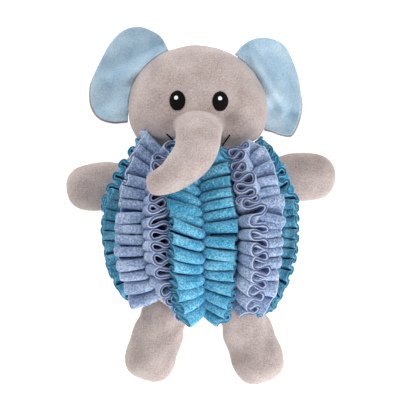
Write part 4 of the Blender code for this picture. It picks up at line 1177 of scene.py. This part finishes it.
def limb_pieces(name, root, way, length, width, thickness, stations, crease, seed):
    """A limb's skin, creased near its root and seamed along its two sides, and its filling."""
    rings, tip = limb_rings(root, way, length, width, thickness, stations)
    rings = rounded_through(rings, RINGS_PER_LIMB_STATION)
    rings = outside_egg(rings, BODY_MIDDLE, BODY_HALF, LIMB_BALL_GAP)
    middles = rings.mean(axis=1, keepdims=True)
    heading = np.array(Vector((*way, 0)).normalized())
    travel = (rings - np.array(root)) @ heading
    sideways = (rings - middles) @ np.array([-heading[1], heading[0], 0])
    dents = np.sin(travel / CREASE_SIZE + CREASE_BOW * sideways ** 2 / width + seed)
    dents *= np.exp(-travel / (CREASE_FADE_SHARE * length))
    rings = middles + (rings - middles) * (1 + (crease / thickness) * dents[..., None] * 2)
    for seam in (0, TUBE_SIDES // 2):
        rings[:, seam] += unit(middles[:, 0] - rings[:, seam]) * LIMB_SEAM_DEPTH
    rings[..., 2] = np.maximum(rings[..., 2], LIMB_FLOOR)
    filling = add_tube_stuffing(
        name + "_stuffing", rings[:-4], tip - Vector(heading) * LIMB_FILL_SHORT, middles[2, 0])
    return tube_skin(name + "_skin", rings, tip, middles[0, 0], seed), filling


for limb_name, (root, way, *shape) in LIMBS.items():
    skin, limb_fill = limb_pieces(limb_name, root, way, *shape)
    for piece in (skin, limb_fill):
        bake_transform(piece)
    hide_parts(limb_name + "_filling")
    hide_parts(limb_name + "_cover")

# Ears. Each is two flat pieces of plush sewn round their rim and turned: a light blue front, and a
# taupe back that shows as a narrow edge along the bottom. Unstuffed, they bend into soft creases.
EAR_SPAN = 0.0830
EAR_DIP = 0.0030
EAR_HALF = 0.0008
EAR_BACK_OVERHANG = 0.0030
EAR_FOOT_SHARE = 0.90
EAR_ROWS = 26
EAR_COLUMNS_PER_SIDE = 7
EAR_PLY_GAP = 0.0009
EAR_SEAM_GAP = 0.0004
EAR_HEAD_GAP = 0.0001
# Where along the outline, as a share of the span, the back begins to stand out past the front
EAR_OVERHANG_FROM = 0.15
EAR_OVERHANG_SPAN = 0.2
# Middle of the ear's seam, and its outline from there as shares of the span
EAR_OUTLINES = {
    "left": ((-0.05806, 0.13213), (
        (0.341, 0.257), (0.261, 0.413), (0.157, 0.487), (0.016, 0.529), (-0.139, 0.487), (-0.265, 0.365),
        (-0.355, 0.212), (-0.448, 0.012), (-0.480, -0.146), (-0.466, -0.300), (-0.387, -0.420),
        (-0.247, -0.467), (-0.093, -0.455))),
    "right": ((0.05154, 0.12437), (
        (-0.282, 0.328), (-0.198, 0.428), (-0.090, 0.490), (0.020, 0.507), (0.159, 0.475), (0.252, 0.398),
        (0.329, 0.243), (0.392, 0.042), (0.411, -0.176), (0.392, -0.330), (0.313, -0.500), (0.220, -0.507),
        (0.111, -0.470), (0.027, -0.446)))}
# Ends of each crease, its half width and its height; below zero is a hollow
EAR_CREASES = {
    "left": (
        ((-0.037, 0.160), (-0.084, 0.140), 0.0060, -0.0075),
        ((-0.036, 0.152), (-0.066, 0.131), 0.0050, 0.0060),
        ((-0.078, 0.118), (-0.084, 0.108), 0.0110, -0.0040),
        ((-0.070, 0.104), (-0.086, 0.098), 0.0060, 0.0030)),
    "right": (
        ((0.044, 0.150), (0.071, 0.103), 0.0048, 0.0075),
        ((0.064, 0.106), (0.080, 0.098), 0.0070, -0.0080),
        ((0.056, 0.150), (0.078, 0.120), 0.0070, -0.0050))}


def crease_heights(points, creases):
    heights = np.zeros(points.shape[:-1])
    for start, end, half_width, height in creases:
        start, way = np.array(start), np.array(end) - np.array(start)
        share = np.clip(((points[..., :2] - start) @ way) / (way @ way), 0, 1)
        away = np.linalg.norm(points[..., :2] - start - share[..., None] * way, axis=-1) / half_width
        heights += height * np.exp(-away ** 2)
    return heights


def ear_grid(side, drop, overhang):
    """Places from the ear's seam on the head to its rim, by column along the outline."""
    pivot, outline = EAR_OUTLINES[side]
    pivot = np.array(pivot)
    outline = rounded_through(outline, EAR_COLUMNS_PER_SIDE)
    along = unit(outline[-1] - outline[0])
    share = np.clip(outline @ along, -0.5, 0.5)
    stands_out = smooth((share - EAR_OVERHANG_FROM) / EAR_OVERHANG_SPAN)
    rim = pivot + outline * (EAR_SPAN + overhang * stands_out)[:, None]
    middle, half = np.array(HEAD_MIDDLE)[:2], np.array(HEAD_HALF)[:2]
    toward = pivot + along * share[:, None] * EAR_SPAN * EAR_FOOT_SHARE - middle
    foot = middle + toward / np.linalg.norm(toward / half, axis=1, keepdims=True)
    foot = foot + unit(toward) * EAR_SEAM_GAP
    reach = np.linspace(0, 1, EAR_ROWS)[None, :, None]
    flat = mix(foot[:, None], rim[:, None], reach)
    wide = np.minimum(np.linalg.norm(rim - foot, axis=1) / (EAR_SPAN / 2), 1)[:, None]
    dip = EAR_DIP * wide * np.sin(np.pi * reach[..., 0])
    height = HEAD_MIDDLE.z - drop - dip + crease_heights(flat, EAR_CREASES[side])
    grid = np.concatenate([flat, height[..., None]], axis=2)
    return outside_egg(grid, HEAD_MIDDLE, HEAD_HALF, EAR_HALF + EAR_HEAD_GAP)


# Light blue plush of the same pile: cool matt nap with a pale bloom on the raised creases
blue_plush, _ = pile_cloth(
    "brushed_light_blue_plush", "b0cadc", shade="94b5cb", lit="cadeea",
    clump=0.0013, speckle=0.5, blotch=0.16, sheen=0.3, bump=0.5)
# Two places by each ear's seam on the head
EAR_BENDS = {
    "left": ((-0.052, 0.129, 0.057), (-0.062, 0.135, 0.057)),
    "right": ((0.046, 0.122, 0.057), (0.056, 0.126, 0.057))}
for side, (bend_start, bend_end) in EAR_BENDS.items():
    for face, drop, overhang, cloth, cloth_slot in (
            ("front", 0, 0, blue_plush, "blue_plush"),
            ("back", 2 * EAR_HALF + EAR_PLY_GAP, EAR_BACK_OVERHANG, taupe_plush, "taupe_plush")):
        ear = thick_sheet(
            "ear_" + side + "_" + face + "_cloth", ear_grid(side, drop, overhang), EAR_HALF, cloth)
        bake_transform(ear)
        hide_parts("ear_" + side + "_" + face)
